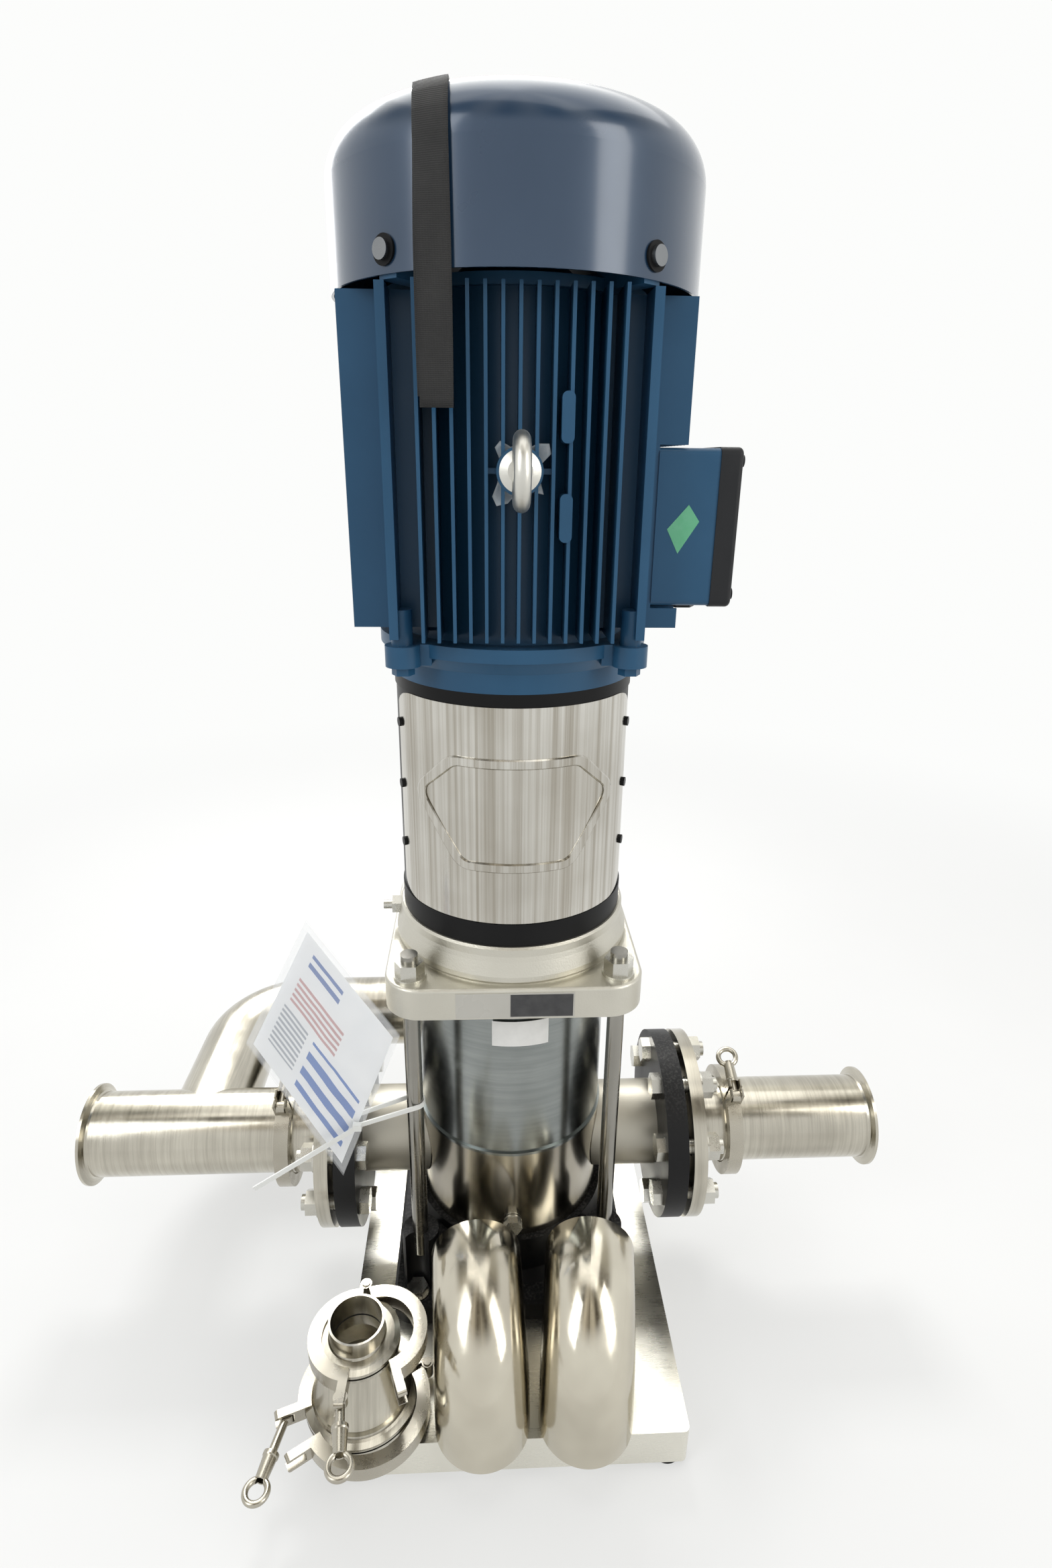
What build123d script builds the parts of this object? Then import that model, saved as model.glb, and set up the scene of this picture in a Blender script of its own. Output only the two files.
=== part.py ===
"""Vertical multistage pump with its motor, skid, hygienic clamp spools and loose fittings.

Millimetres, +Z up. The pump is modelled about its own shaft axis (x = y = 0) with the floor
at z = 0 and moved at the end, so that the origin is under the middle of the whole part.
"""
import os
from math import cos, hypot, radians, sin, sqrt

from build123d import *

# ---------------------------------------------------------------- driving dimensions
# skid: folded stainless tray on rubber feet
SKID_X0, SKID_X1 = -166.0, 162.0
SKID_Y0, SKID_Y1 = -248.7, 170.0
SKID_TOP = 50.0
SKID_SHEET = 3.0
SKID_LIP = 22.0
SKID_CORNER = 6.0
FOOT_R, FOOT_H = 14.0, 8.0
FOOT_INSET = 30.0

# black cast base and its bolts
BASE_HX, BASE_HY = 125.0, 132.0
BASE_FLANGE = 25.0
BASE_CORNER = 20.0
PEDESTAL_R, PEDESTAL_H = 104.0, 80.0
ROD_AT = 96.3
ROD_R = 8.0
ROD_BOSS_R, ROD_BOSS_TOP = 19.0, 143.0
BASE_BOLT_X, BASE_BOLT_Y = 100.0, 114.0
BASE_BOLT_R = 6.0
WASHER_R, WASHER_T = 12.0, 2.5
SPOTFACE = 2.0
ROD_THREAD = 30.0
HOUSING_Z0 = SKID_TOP + PEDESTAL_H - 6.0

# wet end
BODY_R, BODY_WALL = 97.0, 3.5
SEAM_Z = 238.5
SEAM_W, SEAM_H = 2.0, 3.0
SLEEVE_WALL = 2.5
PORT_Z = 190.0
STUB_R, STUB_WALL = 45.5, 4.0
HEAD_Z0, HEAD_Z1 = 420.0, 451.4
HEAD_HALF, HEAD_CORNER = 120.0, 34.0
HEAD_SOCKET = 6.0
NECK_TOP = 487.8
NECK_R_TOP, NECK_R_LOW = 111.0, 115.5
SEAL_BORE_R = 30.0
DRAIN_Z, DRAIN_R = 150.0, 6.5
VENT_Z, VENT_R = 474.0, 6.0
STAGES = 5
CHAMBER_R, CHAMBER_WALL = 86.0, 2.5
CHAMBER_BORE_R = 30.0
CHAMBER_Z0 = SEAM_Z
CHAMBER_Z1 = HEAD_Z0 + HEAD_SOCKET + 20.0
IMPELLER_R = 68.0

# pipe flanges, DN80 PN16
FLANGE_R, FLANGE_T = 100.0, 22.0
FLANGE_PCD_R, FLANGE_HOLE_R = 80.0, 9.0
FLANGE_BOLTS = 8
FACE_X = 182.5
LAP_R, LAP_T = 66.0, 3.5
GASKET_T = 2.0
STEEL_FLANGE_T = 14.0
BOLT_M16_R = 8.0

# hygienic tube, ferrules and clamps (3 inch)
TUBE_R, TUBE_WALL = 44.5, 2.0
FERRULE_R = 53.0
RIM_EDGE, RIM_ROOT = 3.0, 4.5
RIM_ROOT_R = 48.0
SEAL_T = 2.0
FERRULE_NECK = 8.0
FERRULE_LEN = RIM_ROOT + FERRULE_NECK
CLAMP_X = 244.5
RIGHT_END, LEFT_END = 404.0, -459.0
CLAMP_W = 15.0
CLAMP_DEPTH, CLAMP_BACK = 6.4, 6.0
CLAMP_GAP = 0.2
CLAMP_ROLL = 25.0
FITTED_NUT_DEG = 80.0
KNUCKLE_R, HINGE_PIN_R = 5.5, 2.5
EAR_LEN = 21.0
EAR_SPLIT, EAR_T = 1.5, 8.0
EAR_SLOT = 9.4
SWING_PIN_R = 2.6
SWING_EYE_R, SWING_SHANK_R, SWING_LEN = 6.2, 3.9, 40.0
RUN_GAP = 0.05
NUT_BODY_R, NUT_BODY_L = 6.5, 22.0
NUT_RING_R, NUT_RING_WIRE = 9.5, 2.8

# branch off the inlet spool and its run behind the pump
BRANCH_X = -340.0
BRANCH_Y = 140.0
BEND_R = 79.0
BYPASS_END = 60.0

# loose elbows standing on the skid
ELBOW_BEND = 99.0
ELBOW_FOOT_Y = -232.0
ELBOWS = ((-32.0, 3.5), (65.0, -6.9))

# loose reducer with ferrules, standing at the skid's front-left corner
LOOSE_X, LOOSE_Y = -146.0, -211.0
LOWER_HINGE_DEG, LOWER_OPEN_DEG, LOWER_SWING_DEG, LOWER_NUT = 20.0, 12.0, -32.0, 32.0
UPPER_HINGE_DEG, UPPER_OPEN_DEG, UPPER_SWING_DEG, UPPER_NUT = 88.0, 22.0, -80.0, 22.0
LOOSE_TUBE = 9.5
SMALL_TUBE_R = 25.4
SMALL_FERRULE_R = 38.75
REDUCER_LEN = 72.0
STUB_TOP = 19.0

# motor stool, guards
STOOL_R, STOOL_WALL = 107.4, 9.0
STOOL_TOP = 720.0
WINDOW_Z0, WINDOW_Z1 = 515.0, 702.0
WINDOW_HALF_DEG = 62.0
GUARD_T = 1.2
GUARD_Z0, GUARD_Z1 = 511.0, 708.7
GUARD_HALF_DEG = 73.5
PANEL_W, PANEL_H = 180.0, 104.0
PANEL_CORNER, PANEL_RIDGE, PANEL_RAISE = 20.0, 9.0, 1.6
PANEL_Z = 613.0
GUARD_SEAT_R = STOOL_R - 1.2
GUARD_SCREW_R, GUARD_SCREW_HEAD_R = 2.0, 4.2
GUARD_SCREW_Z = (562.0, 620.0, 678.0)
SPIGOT_R, SPIGOT_H = 66.0, 4.0
STOOL_BOLT_AT = 62.0

# motor
SHIELD_TOP = 758.0
BAND_R, BAND_H = 118.0, 11.0
EAR_X, EAR_Y, EAR_LUG_R = 91.0, 95.0, 14.0
EAR_H, EAR_BOLT_R = 17.0, 5.0
EAR_COLUMN_R, EAR_COLUMN_TOP = 8.5, 786.0
BEARING_R, BEARING_H = 36.0, 18.0
FRAME_R, FRAME_BORE = 98.0, 85.0
FRAME_TOP = 1008.0
FIN_T, FIN_PITCH = 2.6, 12.1
FRONT_FINS, SIDE_FINS = 13, 13
FIN_TIP_Y, FIN_TIP_X = 120.0, 131.0
CORNER_FIN_X, CORNER_FIN_T = 96.0, 7.0
BOSS_R = 17.0
BOSS_HALF = 4.6
EYE_Z, EYE_SEAT = 888.0, 122.0
EYE_RING_H, EYE_RING_R, EYE_WIRE = 27.0, 21.0, 6.0
SHAFT_R, PUMP_SHAFT_R = 19.0, 12.0
STATOR_RI = 63.0
COUPLING_R = 38.0
COUPLING_Z0, COUPLING_MID, COUPLING_Z1 = 560.0, 605.0, 650.0
AIR_GAP = 0.5
CORE_Z0, CORE_Z1 = 800.0, 960.0
COVER_R, COVER_WALL = 143.0, 2.0
COVER_Z0, COVER_TOP = 1011.0, 1130.0
COVER_SHOULDER, COVER_CROWN = 38.0, 16.0
COVER_SCREW_Z, COVER_SCREW_DEG = 1025.0, 39.5
FAN_R = 104.0
FAN_Z0, FAN_Z1 = 1048.0, 1086.0
GRILLE = ((8, 14, 32, 5), (16, 40, 58, 5), (24, 66, 84, 5))
BOX_Y, BOX_Z0, BOX_Z1 = 75.0, 786.0, 906.0
BOX_X0, BOX_X1, LID_T = 109.0, 157.0, 18.0
BOX_WALL = 4.0
ENTRY_R = 10.0

# soft pieces
STRAP_X, STRAP_W, STRAP_T = -58.0, 24.0, 3.0
STRAP_LOW, STRAP_BACK = 928.0, 70.0
BAG_T = 3.0
SOFT_GAP = 0.3
BAG_CORNERS = ((-179.0, 526.0), (-243.0, 401.0), (-166.0, 244.0), (-105.0, 405.0))
BAG_Y = -HEAD_HALF - SOFT_GAP
TIE_W, TIE_T, TIE_Z = 4.8, 1.4, 306.0
TIE_EYE_X, TIE_EYE_Y, TIE_EYE_R = -147.0, BAG_Y + 1.3, 6.5
TIE_END = (-246.0, -142.0, 250.0)

UP = (Align.CENTER, Align.CENTER, Align.MIN)
nodes = {}


# ---------------------------------------------------------------- small builders
def cyl(r, z0, z1, x=0.0, y=0.0):
    return Pos(x, y, z0) * Cylinder(r, z1 - z0, align=UP)


def ring(ro, ri, z0, z1, x=0.0, y=0.0):
    return cyl(ro, z0, z1, x, y) - cyl(ri, z0, z1, x, y)


def block(x0, x1, y0, y1, z0, z1):
    return Pos((x0 + x1) / 2, (y0 + y1) / 2, (z0 + z1) / 2) * Box(x1 - x0, y1 - y0, z1 - z0)


def rounded_block(x0, x1, y0, y1, z0, z1, r):
    return fillet(block(x0, x1, y0, y1, z0, z1).edges().filter_by(Axis.Z), r)


def turned(*points):
    """Solid of revolution about Z from (radius, height) points."""
    return revolve(Plane.XZ * Polygon(*points, align=None), Axis.Z)


def hexagon(across, z0, z1, x=0.0, y=0.0):
    return Pos(x, y, z0) * extrude(RegularPolygon(across / 2, 6, major_radius=False), z1 - z0)


def to_x(shape, x=0.0, y=0.0, z=PORT_Z):
    """Turn a Z-axis shape so that it points along +X, then place it on the port axis."""
    return Pos(x, y, z) * Rot(0, 90, 0) * shape


def to_left(shape, x=0.0, y=0.0, z=PORT_Z):
    return Pos(x, y, z) * Rot(0, -90, 0) * shape


def corners(dx, dy):
    return [(sx * dx, sy * dy) for sx in (-1, 1) for sy in (-1, 1)]


def solids(shapes):
    """Flatten shapes into a list of separate solids."""
    return [s for shape in shapes for s in shape.solids()]


def group(*shapes):
    return Compound(children=solids(shapes))


def hex_bolt(across, head_h, r, length):
    """Bolt with its head above z = 0 and its shank below."""
    return hexagon(across, 0, head_h) + cyl(r, -length, 0)


def hex_nut(across, height, bore):
    return hexagon(across, 0, height) - cyl(bore, 0, height)


def washer(ro, ri, t):
    return ring(ro, ri, 0, t)


# ---------------------------------------------------------------- skid and base
def make_skid():
    outer = rounded_block(SKID_X0, SKID_X1, SKID_Y0, SKID_Y1, FOOT_H, SKID_TOP, SKID_CORNER)
    s = SKID_SHEET
    hollow = block(SKID_X0 + s, SKID_X1 - s, SKID_Y0 + s, SKID_Y1 - s, FOOT_H + s, SKID_TOP - s)
    lip = SKID_LIP + s
    mouth = block(SKID_X0 + lip, SKID_X1 - lip, SKID_Y0 + lip, SKID_Y1 - lip, FOOT_H, FOOT_H + s)
    tray = outer - hollow - mouth
    for x, y in corners(BASE_BOLT_X, BASE_BOLT_Y):
        tray -= cyl(BASE_BOLT_R + 0.5, SKID_TOP - s, SKID_TOP, x, y)
    nodes["skid"] = tray
    inset = FOOT_R + SKID_SHEET
    places = [(x, y) for x in (SKID_X0 + inset, SKID_X1 - inset)
              for y in (SKID_Y0 + inset, SKID_Y1 - inset)]
    foot = turned((0, 0), (FOOT_R, 0), (FOOT_R, FOOT_H - 2), (FOOT_R - 3, FOOT_H), (0, FOOT_H))
    nodes["rubber_feet"] = group(*[Pos(x, y, 0) * foot for x, y in places])


def make_base():
    z0 = SKID_TOP
    top = z0 + BASE_FLANGE
    plate = rounded_block(-BASE_HX, BASE_HX, -BASE_HY, BASE_HY, z0, top, BASE_CORNER)
    plate = chamfer(plate.edges().group_by(Axis.Z)[-1], 3)
    pedestal = turned((0, z0), (PEDESTAL_R + 8, z0), (PEDESTAL_R + 8, top), (PEDESTAL_R, top + 12),
                      (PEDESTAL_R, z0 + PEDESTAL_H), (0, z0 + PEDESTAL_H))
    base = plate + pedestal
    reach = hypot(ROD_AT, ROD_AT)
    for k in range(4):
        web = block(0, reach, -ROD_BOSS_R * 0.6, ROD_BOSS_R * 0.6, z0, z0 + PEDESTAL_H - 10)
        base += Rot(0, 0, 45 + 90 * k) * web
    for x, y in corners(ROD_AT, ROD_AT):
        base += cyl(ROD_BOSS_R, z0, ROD_BOSS_TOP, x, y)
    for x, y in corners(ROD_AT, ROD_AT):
        base -= cyl(ROD_R, ROD_BOSS_TOP - ROD_THREAD, ROD_BOSS_TOP, x, y)
    seat = WASHER_R + 1.0
    for x, y in corners(BASE_BOLT_X, BASE_BOLT_Y):
        base -= cyl(seat, top - SPOTFACE, ROD_BOSS_TOP, x, y)
        base -= cyl(BASE_BOLT_R + 0.5, z0, top, x, y)
    base -= cyl(BODY_R, HOUSING_Z0, z0 + PEDESTAL_H)
    nodes["base_casting"] = base
    seat_z = top - SPOTFACE
    bolt = Pos(0, 0, WASHER_T) * hex_bolt(19, 7.5, BASE_BOLT_R, seat_z - SKID_TOP + 18)
    bolts = [Pos(x, y, seat_z) * bolt for x, y in corners(BASE_BOLT_X, BASE_BOLT_Y)]
    disc = washer(WASHER_R, BASE_BOLT_R, WASHER_T)
    nut = Pos(0, 0, SKID_TOP - SKID_SHEET - 10) * hex_nut(19, 10, BASE_BOLT_R)
    under = [Pos(x, y, 0) * nut for x, y in corners(BASE_BOLT_X, BASE_BOLT_Y)]
    over = [Pos(x, y, seat_z) * disc for x, y in corners(BASE_BOLT_X, BASE_BOLT_Y)]
    nodes["base_bolts"] = group(*bolts, *under, *over)


# ---------------------------------------------------------------- wet end
def make_housing():
    shell = ring(BODY_R, BODY_R - BODY_WALL, HOUSING_Z0, SEAM_Z)
    shell += cyl(BODY_R, HOUSING_Z0, HOUSING_Z0 + BODY_WALL)
    collar = FACE_X + LAP_T
    for side in (to_x, to_left):
        shell += side(cyl(STUB_R, BODY_R - 14, collar))
        shell += side(cyl(LAP_R, FACE_X, collar))
    shell -= cyl(BODY_R - BODY_WALL, HOUSING_Z0 + BODY_WALL, SEAM_Z)
    shell += ring(BODY_R - BODY_WALL + 0.5, CHAMBER_BORE_R, SEAM_Z - BODY_WALL, SEAM_Z)
    for side in (to_x, to_left):
        shell -= side(cyl(STUB_R - STUB_WALL, BODY_R - 30, collar))
    shell -= Pos(0, -BODY_R, DRAIN_Z) * Rot(90, 0, 0) * cyl(DRAIN_R, -8, 8)
    nodes["pump_housing"] = shell


def drain_plug():
    cap = hexagon(17, 0, 8) + cyl(DRAIN_R + 3, -2, 0) + cyl(DRAIN_R, -8, -2)
    return Pos(0, -BODY_R - 2.4, DRAIN_Z) * Rot(90, 0, 0) * cap


def make_sleeve():
    top = HEAD_Z0 + HEAD_SOCKET
    sleeve = ring(BODY_R, BODY_R - SLEEVE_WALL, SEAM_Z, top)
    sleeve += ring(BODY_R + SEAM_W, BODY_R - SLEEVE_WALL, SEAM_Z, SEAM_Z + SEAM_H)
    nodes["outer_sleeve"] = sleeve


def make_stages():
    pitch = (CHAMBER_Z1 - CHAMBER_Z0) / STAGES
    bowls, wheels = [], []
    for k in range(STAGES):
        z = CHAMBER_Z0 + k * pitch
        bowl = ring(CHAMBER_R, CHAMBER_R - CHAMBER_WALL, z, z + pitch)
        bowl += ring(CHAMBER_R, CHAMBER_BORE_R, z, z + 3)
        bowls.append(bowl)
        hub = ring(18, PUMP_SHAFT_R, z + 5, z + pitch - 2)
        eye = z + pitch * 0.25
        wheel = hub + ring(IMPELLER_R, 17, z + pitch - 11, z + pitch - 8)
        wheel += ring(IMPELLER_R, 27, eye, eye + 2.5) + ring(29.5, 27, z - 1 if k else z + 1, eye)
        for j in range(6):
            vane = block(17, IMPELLER_R - 1, -1.25, 1.25, eye + 2, z + pitch - 9)
            wheel += Rot(0, 0, 60 * j) * vane
        wheels.append(wheel)
    nodes["stage_chambers"] = group(*bowls)
    nodes["impellers"] = group(*wheels)


def make_head():
    flange = rounded_block(-HEAD_HALF, HEAD_HALF, -HEAD_HALF, HEAD_HALF, HEAD_Z0, HEAD_Z1, HEAD_CORNER)
    flange = fillet(flange.edges().group_by(Axis.Z)[-1], 3)
    neck = turned((0, HEAD_Z1 - 5), (NECK_R_LOW - 2, HEAD_Z1 - 5), (NECK_R_LOW - 2, HEAD_Z1 + 1),
                  (NECK_R_LOW, HEAD_Z1 + 4), (NECK_R_LOW, HEAD_Z1 + 9), (NECK_R_TOP + 1, NECK_TOP - 14),
                  (NECK_R_TOP, NECK_TOP - 9), (NECK_R_TOP, NECK_TOP - 2), (NECK_R_TOP - 2, NECK_TOP),
                  (0, NECK_TOP))
    head = flange + neck
    head -= cyl(BODY_R, HEAD_Z0, HEAD_Z0 + HEAD_SOCKET)
    head -= cyl(CHAMBER_R, HEAD_Z0, CHAMBER_Z1)
    head -= cyl(SEAL_BORE_R, HEAD_Z0, NECK_TOP)
    head -= Pos(0, 0, NECK_TOP - 12) * cyl(70, 0, 12)
    for x, y in corners(ROD_AT, ROD_AT):
        head -= cyl(ROD_R, HEAD_Z0, HEAD_Z1, x, y)
    head -= to_left(cyl(VENT_R, NECK_R_TOP - 37, NECK_R_LOW) + cyl(11, NECK_R_TOP, NECK_R_LOW + 2), z=VENT_Z)
    nodes["pump_head"] = head
    vent = cyl(VENT_R, NECK_R_TOP - 22, NECK_R_TOP) + hexagon(17, NECK_R_TOP, NECK_R_TOP + 9)
    vent += cyl(4.5, NECK_R_TOP + 9, NECK_R_TOP + 18)
    nodes["vent_and_drain_plugs"] = group(to_left(vent, z=VENT_Z), drain_plug())
    plate = block(-54, 54, -HEAD_HALF - 0.6, -HEAD_HALF, HEAD_Z0 + 1.5, HEAD_Z1 - 4)
    nodes["nameplate"] = plate


def make_tie_rods():
    top = HEAD_Z1 + 24
    rod = cyl(ROD_R, ROD_BOSS_TOP - ROD_THREAD, top)
    nodes["tie_rods"] = group(*[Pos(x, y, 0) * rod for x, y in corners(ROD_AT, ROD_AT)])
    disc = Pos(0, 0, HEAD_Z1) * washer(15, ROD_R, 3)
    nut = Pos(0, 0, HEAD_Z1 + 3) * hex_nut(24, 14, ROD_R)
    nodes["tie_rod_nuts"] = group(*[Pos(x, y, 0) * s for x, y in corners(ROD_AT, ROD_AT) for s in (disc, nut)])


def make_shaft_seal():
    z = NECK_TOP - 12
    foot, inner = CHAMBER_Z1 + 2, PUMP_SHAFT_R + RUN_GAP
    seal = turned((SEAL_BORE_R, foot), (SEAL_BORE_R, z), (50, z), (50, z + 8), (18, z + 8), (18, z + 18),
                  (inner, z + 18), (inner, foot))
    nodes["shaft_seal"] = seal


# ---------------------------------------------------------------- flanges and pipework
def flange_ring(thickness, bore):
    disc = ring(FLANGE_R, bore, 0, thickness)
    for k in range(FLANGE_BOLTS):
        a = radians(360 / FLANGE_BOLTS * (k + 0.5))
        disc -= cyl(FLANGE_HOLE_R, 0, thickness, FLANGE_PCD_R * cos(a), FLANGE_PCD_R * sin(a))
    return disc


def around_flange(shape):
    out = []
    for k in range(FLANGE_BOLTS):
        a = 360 / FLANGE_BOLTS * (k + 0.5)
        out.append(Rot(0, 0, a) * Pos(FLANGE_PCD_R, 0, 0) * shape)
    return out


def ferrule(z, up, tube_r=TUBE_R, rim_r=FERRULE_R, wall=TUBE_WALL, neck=FERRULE_NECK):
    """Clamp ferrule with its sealing face at z, its tube running down (up = -1) or up."""
    slope = rim_r - (FERRULE_R - RIM_ROOT_R)
    pts = [(tube_r - wall, 0), (rim_r, 0), (rim_r, RIM_EDGE), (slope, RIM_ROOT), (tube_r + 1.2, RIM_ROOT + 0.9),
           (tube_r, RIM_ROOT + 3), (tube_r, RIM_ROOT + neck), (tube_r - wall, RIM_ROOT + neck)]
    return turned(*[(r, z + up * h) for r, h in pts])


def make_flanges():
    face = FACE_X + LAP_T
    steel = face + GASKET_T
    backing = Pos(0, 0, FACE_X - FLANGE_T) * flange_ring(FLANGE_T, STUB_R)
    nodes["backing_flanges"] = group(to_left(backing), to_x(backing))
    seal = ring(LAP_R, STUB_R - STUB_WALL, face, steel)
    face_seals = [to_x(seal), to_left(seal)]
    joint = CLAMP_X - SEAL_T / 2
    neck_end = joint - FERRULE_LEN
    adapter = Pos(0, 0, steel) * flange_ring(STEEL_FLANGE_T, STUB_R - STUB_WALL)
    adapter += ring(TUBE_R, TUBE_R - TUBE_WALL, steel + STEEL_FLANGE_T, neck_end)
    adapter += ferrule(joint, -1)
    nodes["inlet_adapter"] = to_left(adapter)
    nodes["outlet_adapter"] = to_x(adapter)
    grip = steel + STEEL_FLANGE_T - (FACE_X - FLANGE_T)
    back = FACE_X - FLANGE_T
    bolt = Rot(180, 0, 0) * hex_bolt(24, 10, BOLT_M16_R, grip + 20)
    bolt = Pos(0, 0, back) * bolt
    nut = washer(15, BOLT_M16_R, 3) + Pos(0, 0, 3) * hex_nut(24, 12, BOLT_M16_R)
    nut = Pos(0, 0, steel + STEEL_FLANGE_T) * nut
    sets = [place(f) for place in (to_left, to_x) for piece in (bolt, nut) for f in around_flange(piece)]
    nodes["flange_bolts"] = group(*sets)
    seal = ring(FERRULE_R - 1.5, TUBE_R - TUBE_WALL, CLAMP_X - SEAL_T / 2, CLAMP_X + SEAL_T / 2)
    nodes["gaskets"] = group(*face_seals, to_x(seal), to_left(seal), *loose_seals())


def make_spools():
    joint = CLAMP_X + SEAL_T / 2
    outlet = ferrule(joint, 1) + ring(TUBE_R, TUBE_R - TUBE_WALL, joint + FERRULE_LEN, RIGHT_END - FERRULE_LEN)
    outlet += ferrule(RIGHT_END, -1)
    nodes["outlet_spool"] = to_x(outlet)
    far = -LEFT_END
    inlet = to_left(ferrule(joint, 1) + cyl(TUBE_R, joint + FERRULE_LEN, far - FERRULE_LEN) + ferrule(far, -1))
    along_y = Pos(BRANCH_X, 0, PORT_Z) * Rot(-90, 0, 0)
    inlet += along_y * cyl(TUBE_R, 0, BRANCH_Y)
    inlet -= to_left(cyl(TUBE_R - TUBE_WALL, joint, far))
    inlet -= along_y * cyl(TUBE_R - TUBE_WALL, 0, BRANCH_Y)
    bend = bent_tube(BEND_R, 90)
    corner_x, corner_y = BRANCH_X + BEND_R, BRANCH_Y
    inlet += Pos(corner_x, corner_y, PORT_Z) * Rot(0, 0, 90) * bend
    run_y = BRANCH_Y + BEND_R
    run = ring(TUBE_R, TUBE_R - TUBE_WALL, 0, BYPASS_END - FERRULE_LEN - corner_x)
    run += ferrule(BYPASS_END - corner_x, -1)
    inlet += to_x(run, corner_x, run_y)
    nodes["inlet_spool"] = inlet


def bent_tube(bend, angle):
    """Tube bend about Z, from the +X axis counter-clockwise, in the XY plane."""
    wall = Circle(TUBE_R) - Circle(TUBE_R - TUBE_WALL)
    return revolve(Plane.XZ * Pos(bend, 0) * wall, Axis.Z, angle)


def make_elbows():
    parts = []
    for x, yaw in ELBOWS:
        bend = bent_tube(ELBOW_BEND, 90)
        upright = Rot(0, -90, 0) * Rot(0, 0, -90) * bend
        parts.append(Pos(x, ELBOW_FOOT_Y, SKID_TOP) * Rot(0, 0, yaw) * Pos(0, ELBOW_BEND, 0) * upright)
    nodes["loose_elbows"] = group(*parts)


# ---------------------------------------------------------------- loose reducer stack
def loose_levels():
    """Heights of the loose stack: lower joint, upper joint, top of the stub."""
    low = SKID_TOP + LOOSE_TUBE + RIM_ROOT
    high = low + SEAL_T + REDUCER_LEN
    return low, high, high + SEAL_T + STUB_TOP + RIM_ROOT


def make_reducer():
    low, high, top = loose_levels()
    at = Pos(LOOSE_X, LOOSE_Y, 0)
    foot = ferrule(low, -1, neck=LOOSE_TUBE)
    base = low + SEAL_T
    ri0, ri1 = TUBE_R - TUBE_WALL, SMALL_TUBE_R - TUBE_WALL
    slope = SMALL_FERRULE_R - (FERRULE_R - RIM_ROOT_R)
    profile = [(ri0, base), (FERRULE_R, base), (FERRULE_R, base + RIM_EDGE), (RIM_ROOT_R, base + RIM_ROOT),
               (TUBE_R + 1.2, base + RIM_ROOT + 0.9), (TUBE_R, base + RIM_ROOT + 3), (TUBE_R, base + 14),
               (SMALL_TUBE_R, high - 12), (SMALL_TUBE_R, high - RIM_ROOT - 3), (slope, high - RIM_ROOT),
               (SMALL_FERRULE_R, high - RIM_EDGE), (SMALL_FERRULE_R, high), (ri1, high), (ri1, high - 12),
               (ri0, base + 14)]
    nodes["reducer"] = at * turned(*profile)
    stub = ferrule(high + SEAL_T, 1, SMALL_TUBE_R, SMALL_FERRULE_R, TUBE_WALL, STUB_TOP)
    nodes["loose_ferrules"] = at * group(foot, stub)


def loose_seals():
    low, high, top = loose_levels()
    at = Pos(LOOSE_X, LOOSE_Y, 0)
    wide = ring(FERRULE_R - 1.5, TUBE_R - TUBE_WALL, low, low + SEAL_T)
    small = ring(SMALL_FERRULE_R - 1.5, SMALL_TUBE_R - TUBE_WALL, high, high + SEAL_T)
    return at * wide, at * small


# ---------------------------------------------------------------- hygienic clamps
def clamp_sizes(rim_r):
    """Ring outer radius, hinge radius and swing pin radius for a ferrule rim."""
    outer = rim_r + CLAMP_BACK
    return outer, outer + 5.0, outer + EAR_LEN / 2


def clamp_half(rim_r, near):
    """Half ring, hinge on -X, ear on +X, axis Z: the near half lies on -Y and is forked."""
    outer, hinge_r, pin_r = clamp_sizes(rim_r)
    w = CLAMP_W / 2
    inner = rim_r - CLAMP_DEPTH
    rim = SEAL_T / 2 + RIM_EDGE + CLAMP_GAP
    root = SEAL_T / 2 + RIM_ROOT + CLAMP_GAP
    drop = FERRULE_R - RIM_ROOT_R
    mouth = root + (root - rim) / drop * (CLAMP_DEPTH - drop + 1)
    bottom = rim_r + CLAMP_GAP
    body = ring(outer, inner, -w, w) - turned((inner - 1, mouth), (bottom, rim), (bottom, -rim),
                                              (inner - 1, -mouth))
    reach = 2 * outer
    body &= block(-reach, reach, EAR_SPLIT, reach, -w, w)
    ear = block(outer - 3, outer + EAR_LEN, EAR_SPLIT, EAR_SPLIT + EAR_T, -w, w)
    body += fillet(ear.edges().filter_by(Axis.Y).group_by(Axis.X)[-1], 3)
    slot = EAR_SLOT / 2
    body -= block(pin_r - slot - 2, reach, 0, reach, -slot, slot)
    third = CLAMP_W / 6
    arm = block(-hinge_r, 3 - outer, EAR_SPLIT, KNUCKLE_R, -w, w)
    knuckle = cyl(KNUCKLE_R, -w, w, -hinge_r) + arm
    middle = block(-hinge_r - KNUCKLE_R - 1, -hinge_r + KNUCKLE_R + 0.5, -reach, reach, -third, third)
    if near:
        knuckle = knuckle - scaled_slot(middle) - cyl(HINGE_PIN_R, -w, w, -hinge_r)
        body -= scaled_slot(middle)
    else:
        knuckle = (knuckle & middle) + (arm & block(-outer - 0.7, 0, 0, reach, -third, third))
        knuckle -= cyl(HINGE_PIN_R + RUN_GAP, -w, w, -hinge_r)
        body -= cyl(KNUCKLE_R + 0.6, -w, -third, -hinge_r) + cyl(KNUCKLE_R + 0.6, third, w, -hinge_r)
    body += knuckle
    return mirror(body, Plane.XZ) if near else body


def scaled_slot(middle):
    """The fork's slot: the middle knuckle with its side play."""
    box = middle.bounding_box()
    return block(box.min.X, box.max.X, box.min.Y, box.max.Y, box.min.Z - 0.15, box.max.Z + 0.15)


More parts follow.
